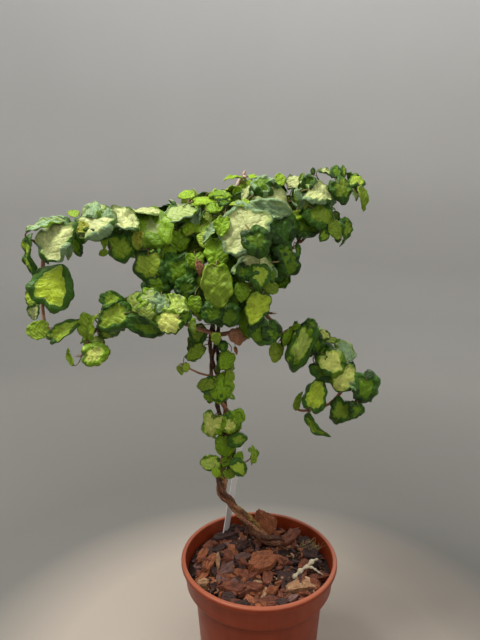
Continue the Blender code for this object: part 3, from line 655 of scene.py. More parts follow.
def pot_finish():
    """Moulded plastic: warm terracotta with soft cloudy shade, fine vertical flow lines and dull scuffs,
    a painted shadow in a band under the collar and a painted highlight along the rim."""
    made = Finish("pot_plastic", (0.24, 0.035, 0.011), 0.33, 0.20)
    flow = made.noise(60, 3, stretch=(3, 3, 0.12))
    shade = made.noise(28, 3) * 0.6 + flow * 0.4
    stops = (0.3, (0.19, 0.026, 0.008)), (0.5, (0.235, 0.034, 0.010)), (0.72, (0.29, 0.050, 0.017))
    colour = made.ramp(shade, *stops)
    foot = made.place().split()[2] * 1000 - (POT_HEIGHT - COLLAR_DEPTH - 5)
    # Painted shadow: a darker band on the body just under the collar, where its overhang shades it.
    painted_collar_shadow = made.steps(abs(foot), 6, 2)
    colour = made.mix(painted_collar_shadow * 0.45, colour, (0.11, 0.015, 0.005))
    # Painted highlight: the top of the lip is paler all round.
    rim = made.steps(foot, COLLAR_DEPTH + 3.6, COLLAR_DEPTH + 4.6)
    colour = made.mix(rim * 0.55, colour, (0.46, 0.155, 0.085))
    dust = made.steps(made.noise(420, 4, 0.7) * made.noise(35, 2), 0.36, 0.5)
    made.set("Base Color", made.mix(dust * 0.10, colour, (0.48, 0.24, 0.15)))
    made.set("Roughness", made.steps(made.noise(90, 4), 0.2, 0.9) * 0.22 + 0.3)
    made.bump(made.noise(240, 3) * 0.5 + flow * 0.5, 0.00018, 0.35)
    return made


def soil_finish():
    """Dark damp crumbs between the chips."""
    made = Finish("mix_crumbs", (0.03, 0.016, 0.011), 0.95)
    crumbs = made.noise(700, 4, 0.7)
    stops = (0.35, (0.010, 0.006, 0.005)), (0.6, (0.045, 0.022, 0.014)), (0.8, (0.12, 0.06, 0.04))
    made.set("Base Color", made.ramp(crumbs, *stops))
    made.bump(crumbs, 0.0012)
    return made


def chip_finish(tint):
    """Split bark: fibres along the chip, darker cracks and paler worn ridges."""
    colours = CHIP_TINTS[tint]
    made = Finish(tint, colours[3:6], 0.85)
    fibres = made.noise(1, 6, 0.7, (1.5, 10, 1), "UV")
    patches = made.noise(260, 4, 0.6)
    crumbs = made.noise(1300, 3, 0.7)
    made.wood(fibres * 0.45 + patches * 0.30 + crumbs * 0.25, colours, (0.36, 0.5, 0.64), patches, 0.25)
    made.bump(fibres * 0.7 + patches * 0.4 + crumbs * 0.3, 0.0011)
    return made


@functools.cache
def bark_finish(name):
    """Thin cracked bark: cracks and paler ridges along the stem, by a map that runs round and along it.
    With a fade it is palest at PALE_HEIGHT, and darkens away from it by that much in a metre."""
    _, pitch, fade, *colours = BARKS[name]
    made = Finish(name, colours[3:6], 0.8)
    cracks = made.noise(1, 5, 0.65, (pitch, 0.35 * pitch, 1), "UV")
    patches = made.noise(160, 3)
    shade = cracks * 0.7 + patches * 0.3
    if fade:
        shade = shade + 0.03 - abs(made.place().split()[2] - PALE_HEIGHT) * fade
    made.wood(shade, colours, (0.36, 0.5, 0.66), patches, 0.2)
    made.bump(cracks, 0.0008, 0.9)
    return made


def leaf_finish(name, colour):
    """Leaf skin: one plain colour, with side veins that rise from the midrib and a quilt between them."""
    made = Finish(name, colour, 0.42, 0.22)
    across, along = made.place(own="UV").split()[:2]
    way = along * 6.5 + abs(across) * 4.6 + made.noise(260, 2) * 0.9
    veins = made.maths("PINGPONG", way, 0.5) * 2
    quilt = made.node("TexVoronoi", {"feature": "SMOOTH_F1"}, {"Vector": made.place(), "Scale": 520})
    made.bump((1 - (1 - veins) ** 4) * 0.30 + (1 - quilt) * 0.7 + made.noise(1400, 2) * 0.3, 0.0009, 0.9)
    return made


# ---- pot and bark mix ----

def build_pot():
    """The pot as one turned wall with round edges at foot, step and lip, and its drain holes cut through."""
    collar_foot = POT_HEIGHT - COLLAR_DEPTH
    step_foot = collar_foot - STEP_DEPTH
    lip_foot = POT_HEIGHT - LIP_DEPTH
    inner_top = COLLAR_TOP_RADIUS - POT_WALL
    inner_base = BASE_RADIUS - POT_WALL
    drain_edge = DRAIN_CIRCLE - 8
    profile = [(0, 0), (10, 0), (drain_edge, 0), (BASE_RADIUS - BASE_EDGE - 0.6, 0)]
    profile += arc((BASE_RADIUS - BASE_EDGE, BASE_EDGE), BASE_EDGE, -90, 0, 6)
    profile += [(BASE_RADIUS + (BODY_TOP_RADIUS - BASE_RADIUS) * share, 3 + (step_foot - 6) * share)
                for share in np.linspace(0.02, 1, 12)]
    profile += [(BODY_TOP_RADIUS + 0.1, step_foot - 1.2), (BODY_TOP_RADIUS + 0.7, step_foot)]
    profile += arc((COLLAR_FOOT_RADIUS - 1, collar_foot - 0.2), 1, -62, 0, 5)
    profile += [(COLLAR_FOOT_RADIUS + (COLLAR_TOP_RADIUS - COLLAR_FOOT_RADIUS) * share,
                 collar_foot + 1 + (lip_foot - collar_foot - 2) * share)
                for share in np.linspace(0.05, 0.97, 5)]
    profile += [(COLLAR_TOP_RADIUS + 0.15, lip_foot - 0.4)]
    profile += arc((LIP_RADIUS - 0.8, lip_foot + 0.8), 0.8, -80, 0, 5)
    profile += arc((LIP_RADIUS - 1.2, POT_HEIGHT - 1.2), 1.2, 0, 90, 6)
    profile += arc((inner_top + 0.7, POT_HEIGHT - 0.7), 0.7, 95, 180, 5)
    profile += [(inner_top - 0.1, lip_foot - 1), (COLLAR_FOOT_RADIUS - POT_WALL, collar_foot + POT_WALL),
                (BODY_TOP_RADIUS - POT_WALL, step_foot + POT_WALL),
                (0.5 * (BODY_TOP_RADIUS + BASE_RADIUS) - POT_WALL, 0.5 * collar_foot),
                (inner_base, BASE_EDGE + POT_WALL), (inner_base - 1.2, POT_WALL),
                (drain_edge, POT_WALL), (10, POT_WALL), (0, POT_WALL)]
    points, faces = turned(profile, POT_SIDES)
    pot = make_piece("pot_shell", points, faces, [pot_finish()], ["pot"], sharp=40)
    cutters = []
    for x, y in circle(DRAIN_CIRCLE * MM, math.radians(DRAIN_TURN) + full_turn(DRAIN_HOLES)):
        bpy.ops.mesh.primitive_cylinder_add(vertices=DRAIN_SIDES, radius=DRAIN_RADIUS * MM,
                                            depth=DRAIN_CUT * MM, location=(x, y, 0))
        cutters.append(bpy.context.object)
        cut = pot.modifiers.new("drain", "BOOLEAN")
        cut.operation = "DIFFERENCE"
        cut.object = cutters[-1]
    bpy.context.view_layer.update()
    cut_mesh = bpy.data.meshes.new_from_object(pot.evaluated_get(bpy.context.evaluated_depsgraph_get()))
    pot.modifiers.clear()
    pot.data = cut_mesh
    for cutter in cutters:
        bpy.data.objects.remove(cutter)


def mix_height(x, y):
    """Height of the mix's surface: nearly flat, with soft heaps, and a little higher behind the stem."""
    heaps = MIX_TOP - 1.2 + 1.1 * np.sin(0.16 * x + 0.5) * np.cos(0.13 * y)
    return heaps + 0.03 * y + 0.6 * np.sin(0.35 * x - 0.3 * y)


def build_mix(rng):
    """The mix's body: it follows the pot's inside, and its top is the uneven surface with crumbs on it."""
    inside = POT_WALL + 0.5
    wall = [(BASE_RADIUS - inside - 1.5, inside), (BASE_RADIUS - inside, 4),
            (BODY_TOP_RADIUS - inside - 0.4, 74),
            (COLLAR_FOOT_RADIUS - inside, POT_HEIGHT - COLLAR_DEPTH + 2.5), (MIX_RADIUS, MIX_TOP - 3.5)]
    rings = wall + [(radius, 0) for radius in np.linspace(MIX_RADIUS, 1.2, MIX_RINGS)]
    spots = circle(np.array(rings)[:, :1], full_turn(MIX_SIDES))
    crumbs = lumps(spots, 5, rng) * 0.5 + lumps(spots, 2.4, rng) * 0.35
    relief = mix_height(*np.moveaxis(spots, -1, 0)) + crumbs
    relief[:len(wall)] = 0
    points, faces = turned([(0, inside), *rings, (0, 0)], MIX_SIDES, relief)
    points[0, -1, 2] = mix_height(0, 0)
    make_piece("mix_body", points, faces, [soil_finish()], ["bark_mix"])


# ---- chips, litter and tag ----

def chip_shapes(sizes, form, rng):
    """Points of split chips and their maps. The outline is what several straight cuts leave; it is carried
    from the underside to the top in rings. Fibres along the chip give it ridges, splintered ends and a
    rough skin."""
    sides, rings = form
    count = len(sizes)
    angle = full_turn(sides)
    cuts = full_turn(6) + rng.uniform(-0.4, 0.4, (count, 6))
    depth = rng.uniform(0.62, 1.0, (count, 6, 1))
    outline = (depth / np.clip(np.cos(angle - cuts[..., None]), 0.25, 1)).min(1)
    shares, levels = np.array(rings).T[..., None]
    reach = outline[:, None] * shares
    x, y = reach * np.cos(angle), reach * np.sin(angle)
    x, y = (part / (part.max((1, 2)) - part.min((1, 2)))[:, None, None] for part in (x, y))
    z = np.broadcast_to(levels, reach.shape)
    own = lambda low, high: rng.uniform(low, high, (count, 1, 1))
    fibres = sum(own(0.4, 1) * np.sin(rate * y + own(4, 14) * z + own(1, 4) * x + own(0, 6))
                 for rate in (11, 19, 31, 47)) / 3
    splinters = sum(own(0.4, 1) * np.sign(np.sin(rate * y + own(2, 9) * z + own(0, 6)))
                    for rate in (13, 23, 41)) / 3
    x = x * (1 + 0.13 * splinters * np.clip(4 * np.abs(x) - 0.8, 0, 1))
    y = y * (1 + 0.07 * fibres)
    slope = own(-0.5, 0.5) * x + own(-0.7, 0.7) * y
    z = z + (z > 0.45) * (0.11 * fibres + 0.5 * slope) + 0.03 * rng.uniform(-1, 1, reach.shape)
    grid = np.stack([x, y, z], -1)
    points = closed_points(np.zeros((count, 3)), grid, grid[:, -1].mean(1)) * sizes[:, None]
    grain = np.stack([points[..., 0], points[..., 1] + 0.8 * points[..., 2]], -1)
    return points, grain * 0.12 + rng.uniform(0, 90, (count, 1, 2))


def turn_points(points, turns, tilts, ways):
    """Tilts each copy about a level axis at angle `way`, after turning it about Z. All in radians."""
    x, y, z = np.moveaxis(points, -1, 0)
    cos, sin = np.cos(turns)[:, None], np.sin(turns)[:, None]
    flat = np.stack([x * cos - y * sin, x * sin + y * cos, z], -1)
    axis = np.stack([np.cos(ways), np.sin(ways), 0 * ways], -1)[:, None]
    cos, sin = np.cos(tilts)[:, None, None], np.sin(tilts)[:, None, None]
    return flat * cos + np.cross(axis, flat) * sin + axis * (flat * axis).sum(-1, keepdims=True) * (1 - cos)


def build_chips(rng):
    """Named chips, tilted about their length, and a strewn layer of small ones, in pieces by tint."""
    rows = np.array([row[:8] for row in LEADING_CHIPS.values()])
    turns, tilts = np.radians(rows[:, 5]), np.radians(rows[:, 6])
    large = (rows[:, :2], rows[:, 2:5], turns, tilts, turns, rows[:, 7])
    reach = (MIX_RADIUS - 3.5) * np.sqrt(rng.uniform(0, 1, SMALL_CHIPS))
    angle = rng.uniform(0, math.tau, SMALL_CHIPS)
    length = 1.4 + 10 * rng.uniform(0, 1, SMALL_CHIPS) ** 2.8
    width = length * rng.uniform(0.25, 0.85, SMALL_CHIPS)
    sizes = np.stack([length, width, length * rng.uniform(0.10, 0.36, SMALL_CHIPS)], -1)
    sizes *= np.clip((MIX_RADIUS - 1 - reach) / (0.5 * length), 0.4, 1)[:, None]
    small = (circle(reach, angle), sizes, rng.uniform(0, math.pi, SMALL_CHIPS),
             rng.normal(0, 0.50, SMALL_CHIPS), rng.uniform(0, math.tau, SMALL_CHIPS),
             rng.uniform(-0.6, 2.6, SMALL_CHIPS))
    small_tints = rng.choice(list(CHIP_TINTS), SMALL_CHIPS, p=SMALL_TINT_SHARES)
    large_tints = np.array([row[8] for row in LEADING_CHIPS.values()])
    finishes = {tint: chip_finish(tint) for tint in CHIP_TINTS}
    for start, (places, sizes, turns, tilts, ways, lifts), form, tints, names in (
            ("bark_", large, LARGE_CHIP, large_tints, LEADING_CHIPS),
            ("small_", small, SMALL_CHIP, small_tints, ())):
        points, grain = chip_shapes(sizes, form, rng)
        points = turn_points(points, turns, tilts, ways)
        points[..., :2] += places[:, None]
        points[..., 2] += (mix_height(*places.T) + lifts)[:, None]
        for tint, finish in finishes.items():
            chosen = np.flatnonzero(tints == tint)
            nodes = [name for name, own in zip(names, tints == tint) if own and name.startswith("bark_chip")]
            make_piece(start + tint + "s", points[chosen], closed_faces(len(form[1]), form[0], len(chosen)),
                       [finish], nodes, sharp=24, uv=grain[chosen].reshape(-1, 2))


def build_litter(rng):
    """A pale forked dry twig, a tuft of frayed fibre, and fine rootlets on the mix."""
    rings, sides = 26, 10
    for number, (route, radii) in enumerate((TWIG_MAIN, TWIG_FORK)):
        knots = 1 + 0.35 * np.sin(np.arange(rings) * 1.1)[:, None]
        relief = knots + 0.25 * rng.uniform(-1, 1, (1, rings, sides))
        route, radii = smooth_route(route, rings)[None], spread_values(radii, rings)
        tube_piece(f"dry_twig_{number + 1}", route, radii, sides, "dry_twig", 18, relief=relief)
    count, rings = TUFT_FIBRES, 9
    start = np.array(TUFT_PLACE) + rng.normal(0, 1, (count, 3)) * (3.4, 2.6, 0.6)
    way = (rng.normal(0.5, 0.5, count), rng.normal(-0.2, 0.5, count), rng.uniform(0.4, 1.3, count))
    share = np.linspace(0, 1, rings)[None, :, None]
    curl = np.sin(share * 5 + rng.uniform(0, 6, (count, 1, 1))) * rng.normal(0, 0.8, (count, 1, 3)) * share
    paths = start[:, None] + np.stack(way, -1)[:, None] * share * TUFT_HEIGHT + curl
    tube_piece("frayed_fibre", paths, np.linspace(0.3, 0.1, rings), 5, "frayed_fibre", 4)
    count, rings = ROOTLETS, 12
    reach, angle = ROOTLET_REACH * np.sqrt(rng.uniform(0, 1, count)), rng.uniform(0, math.tau, count)
    way = rng.uniform(0, math.tau, count)[:, None] + np.cumsum(rng.normal(0, 0.35, (count, rings)), 1)
    flat = circle(reach, angle)[:, None] + np.cumsum(circle(1, way), 1) * rng.uniform(0.4, 0.9, (count, 1, 1))
    flat *= np.minimum(1, (ROOTLET_REACH + 2) / np.linalg.norm(flat, axis=-1, keepdims=True))
    arch = np.sin(np.linspace(0, math.pi, rings)) * rng.uniform(0, 3, (count, 1))
    height = mix_height(flat[..., 0], flat[..., 1]) + ROOTLET_LIFT + arch
    paths = np.concatenate([flat, height[..., None]], -1)
    tube_piece("rootlets", paths, 0.16 * np.linspace(1.3, 0.5, rings), 5, "rootlet", 6)


def build_tag():
    """A white plastic strip with a round top, a little bowed, as rings of one outline from face to face."""
    half = TAG_WIDTH / 2 - TAG_CORNER
    angle = full_turn(TAG_SIDES)
    across = np.sign(np.cos(angle)) * half + TAG_CORNER * np.cos(angle)
    upward = np.where(np.sin(angle) > 0, TAG_HEIGHT - TAG_CORNER + TAG_CORNER * np.sin(angle), -TAG_BURIED)
    outline = np.stack([across, upward], -1)
    middle = np.array([0, TAG_HEIGHT / 2])
    rings = []
    for share, depth in ((0.5, -1.0), (0.965, -1.0), (1.0, -0.5), (1.0, 0.5), (0.965, 1.0), (0.5, 1.0)):
        flat = middle + (outline - middle) * (share, 1 - (1 - share) * 0.16)
        bow = TAG_BOW * np.sin(math.pi * np.clip(flat[:, 1] / TAG_HEIGHT, 0, 1))
        rings.append(np.stack([flat[:, 0], bow + depth * TAG_THICK / 2, flat[:, 1]], -1))
    first, last = (np.array([[0, TAG_BOW + side * TAG_THICK / 2, TAG_HEIGHT / 2]]) for side in (-1, 1))
    x, y, z = np.moveaxis(closed_points(first, np.array(rings)[None], last), -1, 0)
    turn, lean = math.radians(TAG_TURN), math.radians(TAG_LEAN)
    x, y = x * math.cos(turn) - y * math.sin(turn), x * math.sin(turn) + y * math.cos(turn)
    x, z = x * math.cos(lean) + z * math.sin(lean), z * math.cos(lean) - x * math.sin(lean)
    points = np.stack([x, y, z], -1) + TAG_PLACE
    white = Finish("tag_plastic", (0.87, 0.87, 0.86), 0.35)
    stain = white.steps(white.noise(90, 4, 0.6), 0.55, 0.8)
    white.set("Base Color", white.mix(stain * 0.4, (0.88, 0.88, 0.87), (0.66, 0.63, 0.58)))
    white.bump(white.noise(300, 2), 0.00008, 0.5)
    faces = closed_faces(len(rings), TAG_SIDES)
    make_piece("white_tag", points, faces, [white], ["plant_tag"], sharp=50)


# ---- wood ----

def bark_relief(rings, sides, length, depth, rng):
    """Radius factors for bark: ridges that run along and drift round, broken by cracks, and swellings."""
    angle = full_turn(sides)
    along = np.linspace(0, length, rings)[:, None]
    ridges = 0
    for order in (3, 5, 7, 9, 12):
        drift = rng.uniform(-0.25, 0.25)
        sway = rng.uniform(0.4, 1.1) * np.sin(along * rng.uniform(0.15, 0.5) + rng.uniform(0, 6))
        ridges = ridges + rng.uniform(0.5, 1) * np.cos(order * angle + drift * along + 2 * sway)
    swelling = np.sin(along * 0.55 + rng.uniform(0, 6)) + 0.7 * np.sin(along * 1.3 + rng.uniform(0, 6))
    cracks = -np.maximum(0, np.abs(ridges) ** 0.5 * -1 + 0.55) * 1.6
    return 1 + depth * (0.30 * ridges + 0.35 * swelling + cracks + rng.uniform(-0.12, 0.12, (rings, sides)))


def strand_lines(count):
    """The strands' centrelines and their radii: helices of one pitch round the middle line."""
    places = smooth_route(WOUND_PLACES, count)
    middle, wind, radii, turn = places[:, :3], places[:, 3:4], places[:, 4], math.tau * places[:, 5:]
    ahead = unit(np.gradient(middle, axis=0))
    side = unit(np.cross(ahead, (0, 1, 0)))
    front = np.cross(side, ahead)
    angles = [turn + math.tau * strand / STRANDS for strand in range(STRANDS)]
    return [middle + wind * (np.cos(angle) * side + np.sin(angle) * front) for angle in angles], radii


def limb(name, route, radii, form, bark, rng, node):
    """One limb with its bark's relief, in one of the forms TRUNK_FORM to BOUGH_FORM."""
    sides, rings, depth, length = form
    relief = bark_relief(rings, sides, length, depth, rng)[None]
    path = smooth_route(route, rings)[None]
    tube_piece(name, path, spread_values(radii, rings), sides, bark, length, [node], relief)


def build_wood(rng):
    """Trunk, its second root, the wound strands, boughs and bare shoots. Returns the lines that leaves can
    hang on."""
    limb("trunk_bark", TRUNK[:, :3], TRUNK[:, 3], TRUNK_FORM, "old_bark", rng, "trunk")
    limb("root_bark", ROOT[:, :3], ROOT[:, 3], ROOT_FORM, "ochre_root", rng, "trunk")
    lines = []
    strands, radii = strand_lines(STRAND_FORM[1])
    for number, line in enumerate(strands):
        name = f"strand_bark_{number + 1}"
        limb(name, line, radii, STRAND_FORM, name, rng, f"stem_strand_{number + 1}")
        lines.append(line[::4])
    for name, values in BOUGHS.items():
        route = np.reshape(values[2:], (-1, 3))
        limb(name + "_bark", route, values[:2], BOUGH_FORM, "red_shoot", rng, name)
        lines.append(smooth_route(route, 40))
    return lines


# ---- leaves ----

def foliage_masses():
    """Names, centres and half sizes of the masses."""
    starts = tuple(start for starts in PIECES.values() for start in starts)
    names = sorted(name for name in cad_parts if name.startswith(starts) and name not in BOUGHS)
    corners = np.array([[list(corner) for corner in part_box(name)] for name in names]) / MM
    return names, corners.mean(1), (corners[:, 1] - corners[:, 0]) / 2


def view_rays(pixels):
    """Unit directions from the camera through points of its picture."""
    offset = (np.array(pixels, float) - np.array(VIEW_SIZE) / 2) / FOCAL_PIXELS
    pitch = math.radians(CAMERA_PITCH)
    ahead = np.array([0, math.cos(pitch), -math.sin(pitch)])
    above = np.array([0, math.sin(pitch), math.cos(pitch)])
    return unit(ahead + offset[:, :1] * (1, 0, 0) - offset[:, 1:] * above)


def ray_meets(rays, centres, halves):
    """For rays from the camera and each mass: how near they pass to its centre, in its half sizes, and how
    far along they enter it, or pass it."""
    rays = rays[:, None] / halves
    start = (CAMERA_PLACE - centres) / halves
    rate = (rays**2).sum(-1)
    nearest = -(rays * start).sum(-1) / rate
    miss = np.linalg.norm(start + rays * nearest[..., None], axis=-1)
    return miss, nearest - np.sqrt(np.clip(1 - miss**2, 0, None) / rate)


def beside_sky(points):
    """How far outside the nearest gap of SKY_GAPS the points show, in pixels of the camera's picture."""
    cosines = unit(points - CAMERA_PLACE) @ view_rays(SKY_GAPS[:, :2]).T
    return (np.arccos(np.clip(cosines, -1, 1)) * FOCAL_PIXELS - SKY_GAPS[:, 2]).min(-1)


def across_face(tips, faces):
    """Tip directions brought square to the face directions."""
    return unit(tips - (tips * faces).sum(-1, keepdims=True) * faces)


def leading_leaves(masses):
    """The leaves of LEADING_LEAVES as places, lengths, tip and face directions, kinds, shapes and masses.
    Each is set where its ray first meets a mass, or passes nearest to one, and is lifted towards the camera
    by its turn."""
    sprays = [(lift, table(text)) for lift, text in LEADING_LEAVES.values()]
    rows = [row for _, spray in sprays for row in spray]
    x, y, pixels, way, turn, tilt = np.array([row[:6] for row in rows]).T
    rays = view_rays(np.stack([x, y], -1))
    miss, enter = ray_meets(rays, *masses[1:])
    mass = np.where(miss < 1, enter, 1e4 + miss).argmin(1)
    lift = np.concatenate([np.linspace(0, lift, len(spray)) for lift, spray in sprays])
    depth = enter[np.arange(len(rows)), mass] - lift - np.array([[*row, 0][8] for row in rows])
    turn, tilt, way = np.radians(turn), np.radians(tilt), np.radians(way)
    face = np.stack([np.sin(turn) * np.cos(tilt), -np.cos(turn) * np.cos(tilt), np.sin(tilt)], -1)
    tip = across_face(np.stack([np.cos(way), 0 * way, np.sin(way)], -1), face)
    shown = np.linalg.norm(np.cross(tip, rays), axis=1)
    lengths = pixels * depth / FOCAL_PIXELS / np.clip(shown, 0.5, 1)
    kinds, shapes = np.array([row[6:8] for row in rows]).T
    return CAMERA_PLACE + rays * depth[:, None], lengths, tip, face, kinds, shapes, mass


def clear_spots(spots, lengths, mass, share, masses, leading):
    """Which spots of a mass's shell are clear of the other masses, stay within the masses' outline as the
    camera sees them, don't hide a leading leaf from it, and leave the gaps of SKY_GAPS open."""
    _, centres, halves = masses
    depth = np.linalg.norm((spots[:, None] - centres) / halves, axis=-1)
    clear = (np.delete(depth, mass, 1) > 0.80 * share).all(1)
    aside = BLADE_REACH * np.array([(1, 0, 0), (-1, 0, 0), (0, 0, 1), (0, 0, -1)])
    edges = unit((spots[:, None] + aside * lengths[:, None, None] - CAMERA_PLACE).reshape(-1, 3))
    clear &= (ray_meets(edges, centres, halves)[0] < 0.99).any(1).reshape(len(spots), 4).all(1)
    ahead = leading[0] - CAMERA_PLACE
    lead_depth = np.linalg.norm(ahead, axis=1)
    away = np.linalg.norm(spots - CAMERA_PLACE, axis=1)
    between = np.arccos(np.clip(unit(spots - CAMERA_PLACE) @ unit(ahead).T, -1, 1)) * lead_depth
    beside = between < BLADE_REACH * leading[1] + 0.30 * lengths[:, None]
    clear &= ~(beside & (away[:, None] < lead_depth + LEAD_ROOM)).any(1)
    return clear & (beside_sky(spots) > BLADE_REACH * lengths * FOCAL_PIXELS / away)


def strewn_leaves(masses, leading, rng):
    """Leaves strewn over the masses, on spots that are clear and far enough from leaves already set: even
    spots on a sphere, by the golden angle, scaled to each shell. Faces look outwards and up, tips hang down
    and outwards."""
    names, centres, halves = masses
    kept = []
    for layer, (share, wider) in enumerate(SHELLS):
        for mass, name in enumerate(names):
            if layer and not name.startswith("crown"):
                continue
            mean, spacing, *kinds = SPRAYS[max((key for key in SPRAYS if name.startswith(key)), key=len)]
            step = np.arange(TRIES)
            height = 1 - 2 * (step + 0.5) / TRIES
            angle = step * (math.pi * (3 - math.sqrt(5))) + rng.uniform(0, math.tau)
            out = np.concatenate([circle(np.sqrt(1 - height**2), angle), height[:, None]], -1)
            rng.shuffle(out)
            spots = centres[mass] + out * halves[mass] * share * rng.uniform(0.92, 1.04, (TRIES, 1))
            lengths = mean * rng.uniform(0.70, 1.22, TRIES)
            for index in np.flatnonzero(clear_spots(spots, lengths, mass, share, masses, leading)):
                gap = spacing * lengths[index] * wider
                if all(np.linalg.norm(spots[index] - other[0]) > gap for other in kept):
                    face = unit(out[index] / halves[mass]) + rng.normal(0, 0.36, 3) + (0, -0.1, 0.45)
                    tip = np.array([0, 0, -0.9]) + 0.5 * out[index] + rng.normal(0, 0.5, 3)
                    # The layer behind takes the shaded kind: painted shade for leaves within the crown.
                    kind = "shaded" if layer else rng.choice(kinds[::2], p=kinds[1::2])
                    shape = rng.choice(list(STREWN_SHAPES), p=list(STREWN_SHAPES.values()))
                    kept.append((spots[index], lengths[index], tip, unit(face), kind, shape, mass))
    leaves = [np.array(column) for column in zip(*kept)]
    leaves[2] = across_face(leaves[2], leaves[3])
    return leaves


def blade_outline(angle, lengths, point, notch, rng):
    """Radius of the blades' outlines round their middles for angles from the tip, in leaf lengths: a tip, a
    notch at the stalk, rounded teeth between cusps, and an uneven swell."""
    count = len(lengths)
    small = np.clip((15 - lengths) / 9, 0, 1)
    outline = 0.45 + (point + 0.04 * small) * np.exp(-((angle / 0.36) ** 2))
    outline = outline + 0.05 * np.exp(-(((np.abs(angle) - 2.45) / 0.5) ** 2))
    outline = outline - notch * (1 - 0.8 * small) * np.exp(-(((np.abs(angle) - math.pi) / 0.26) ** 2))
    teeth = angle * rng.choice((4, 4.5, 5, 5.5), (count, 1, 1)) + rng.uniform(0, math.pi, (count, 1, 1))
    teeth = np.abs(np.sin(teeth)) ** 0.7
    outline = outline * (1 - rng.uniform(0.03, 0.11, (count, 1, 1)) * (1 - small) * (1 - teeth))
    swell = 1 + 0.05 * ripples(angle, (2, 3), rng, count) + 0.025 * ripples(angle, (7, 9, 12), rng, count)
    outline = outline * swell
    return outline / np.ptp(outline * np.cos(angle), -1, keepdims=True)


def patch_edge(angle, patch, uneven, rng):
    """Shares of the outline where the patch in a blade's centre ends, and where the band round it ends: an
    uneven ring with one bay, drawn out towards the tip."""
    count, sides = len(patch), len(angle)
    each = lambda low, high, across=1: rng.uniform(low, high, (count, 1, across))
    edge = patch * each(0.92, 1.14) * (1 + uneven * ripples(angle, (1, 2, 3, 4), rng, count))
    edge = edge + 0.05 * ripples(angle, (8, 11, 14), rng, count) + each(-0.02, 0.02, sides)
    bay = ((angle - each(-math.pi, math.pi) + math.pi) % math.tau - math.pi) / 0.55
    edge = edge * (1 - 1.9 * uneven * each(0, 1) * np.exp(-(bay**2)))
    edge = np.clip(edge + 0.12 * np.exp(-((angle / 0.3) ** 2)), 0.18, 0.92)
    band = 0.03 + 0.22 * np.clip(ripples(angle, (2, 3, 5), rng, count), 0, 1) ** 1.5
    return edge, np.clip(edge + band + 0.05 * each(0, 1, sides), None, 0.95)


def skin_slots(flat, angle, grid, kinds, mixed, rng):
    """Which finish each face of the blades has: the patch, the band, the two skins of the margin, blobs of
    one skin strewn in another by the kind's share, the underside, and for each blob one of the skin's two
    shades."""
    count = len(kinds)
    inner, rows = len(grid[1]), len(grid[1]) + len(grid[2])
    part = np.zeros((count, 2 * rows - 1, grid[0]), int)
    part[:, inner - 1] = 1
    part[:, inner:rows] = 2
    top = part[:, :rows - 1]
    blob = lumps(flat, 0.22, rng, 9)
    above = blob[:, :rows - 1] - np.interp(mixed, (0, 0.05, 0.15, 0.35), (3, 1.3, 0.8, 0.25))
    top[:] = np.where((above > 0) & (top != 1), np.where(above > 0.5, 2 - top, 1), top)
    part[(part == 2) & (ripples(angle, (1, 2, 3), rng, count) > 0.15)] = 3
    part[:, rows:] = 4
    skins = np.array([[list(SKIN).index(skin) for skin in LEAF_KINDS[kind][:5]] for kind in kinds])
    tone = np.concatenate([blob, blob[:, ::-1]], 1)[:, :2 * rows - 1] + rng.normal(0, 1.0, (count, 1, 1)) > 0
    return 2 * skins[np.arange(count)[:, None, None], part] + tone


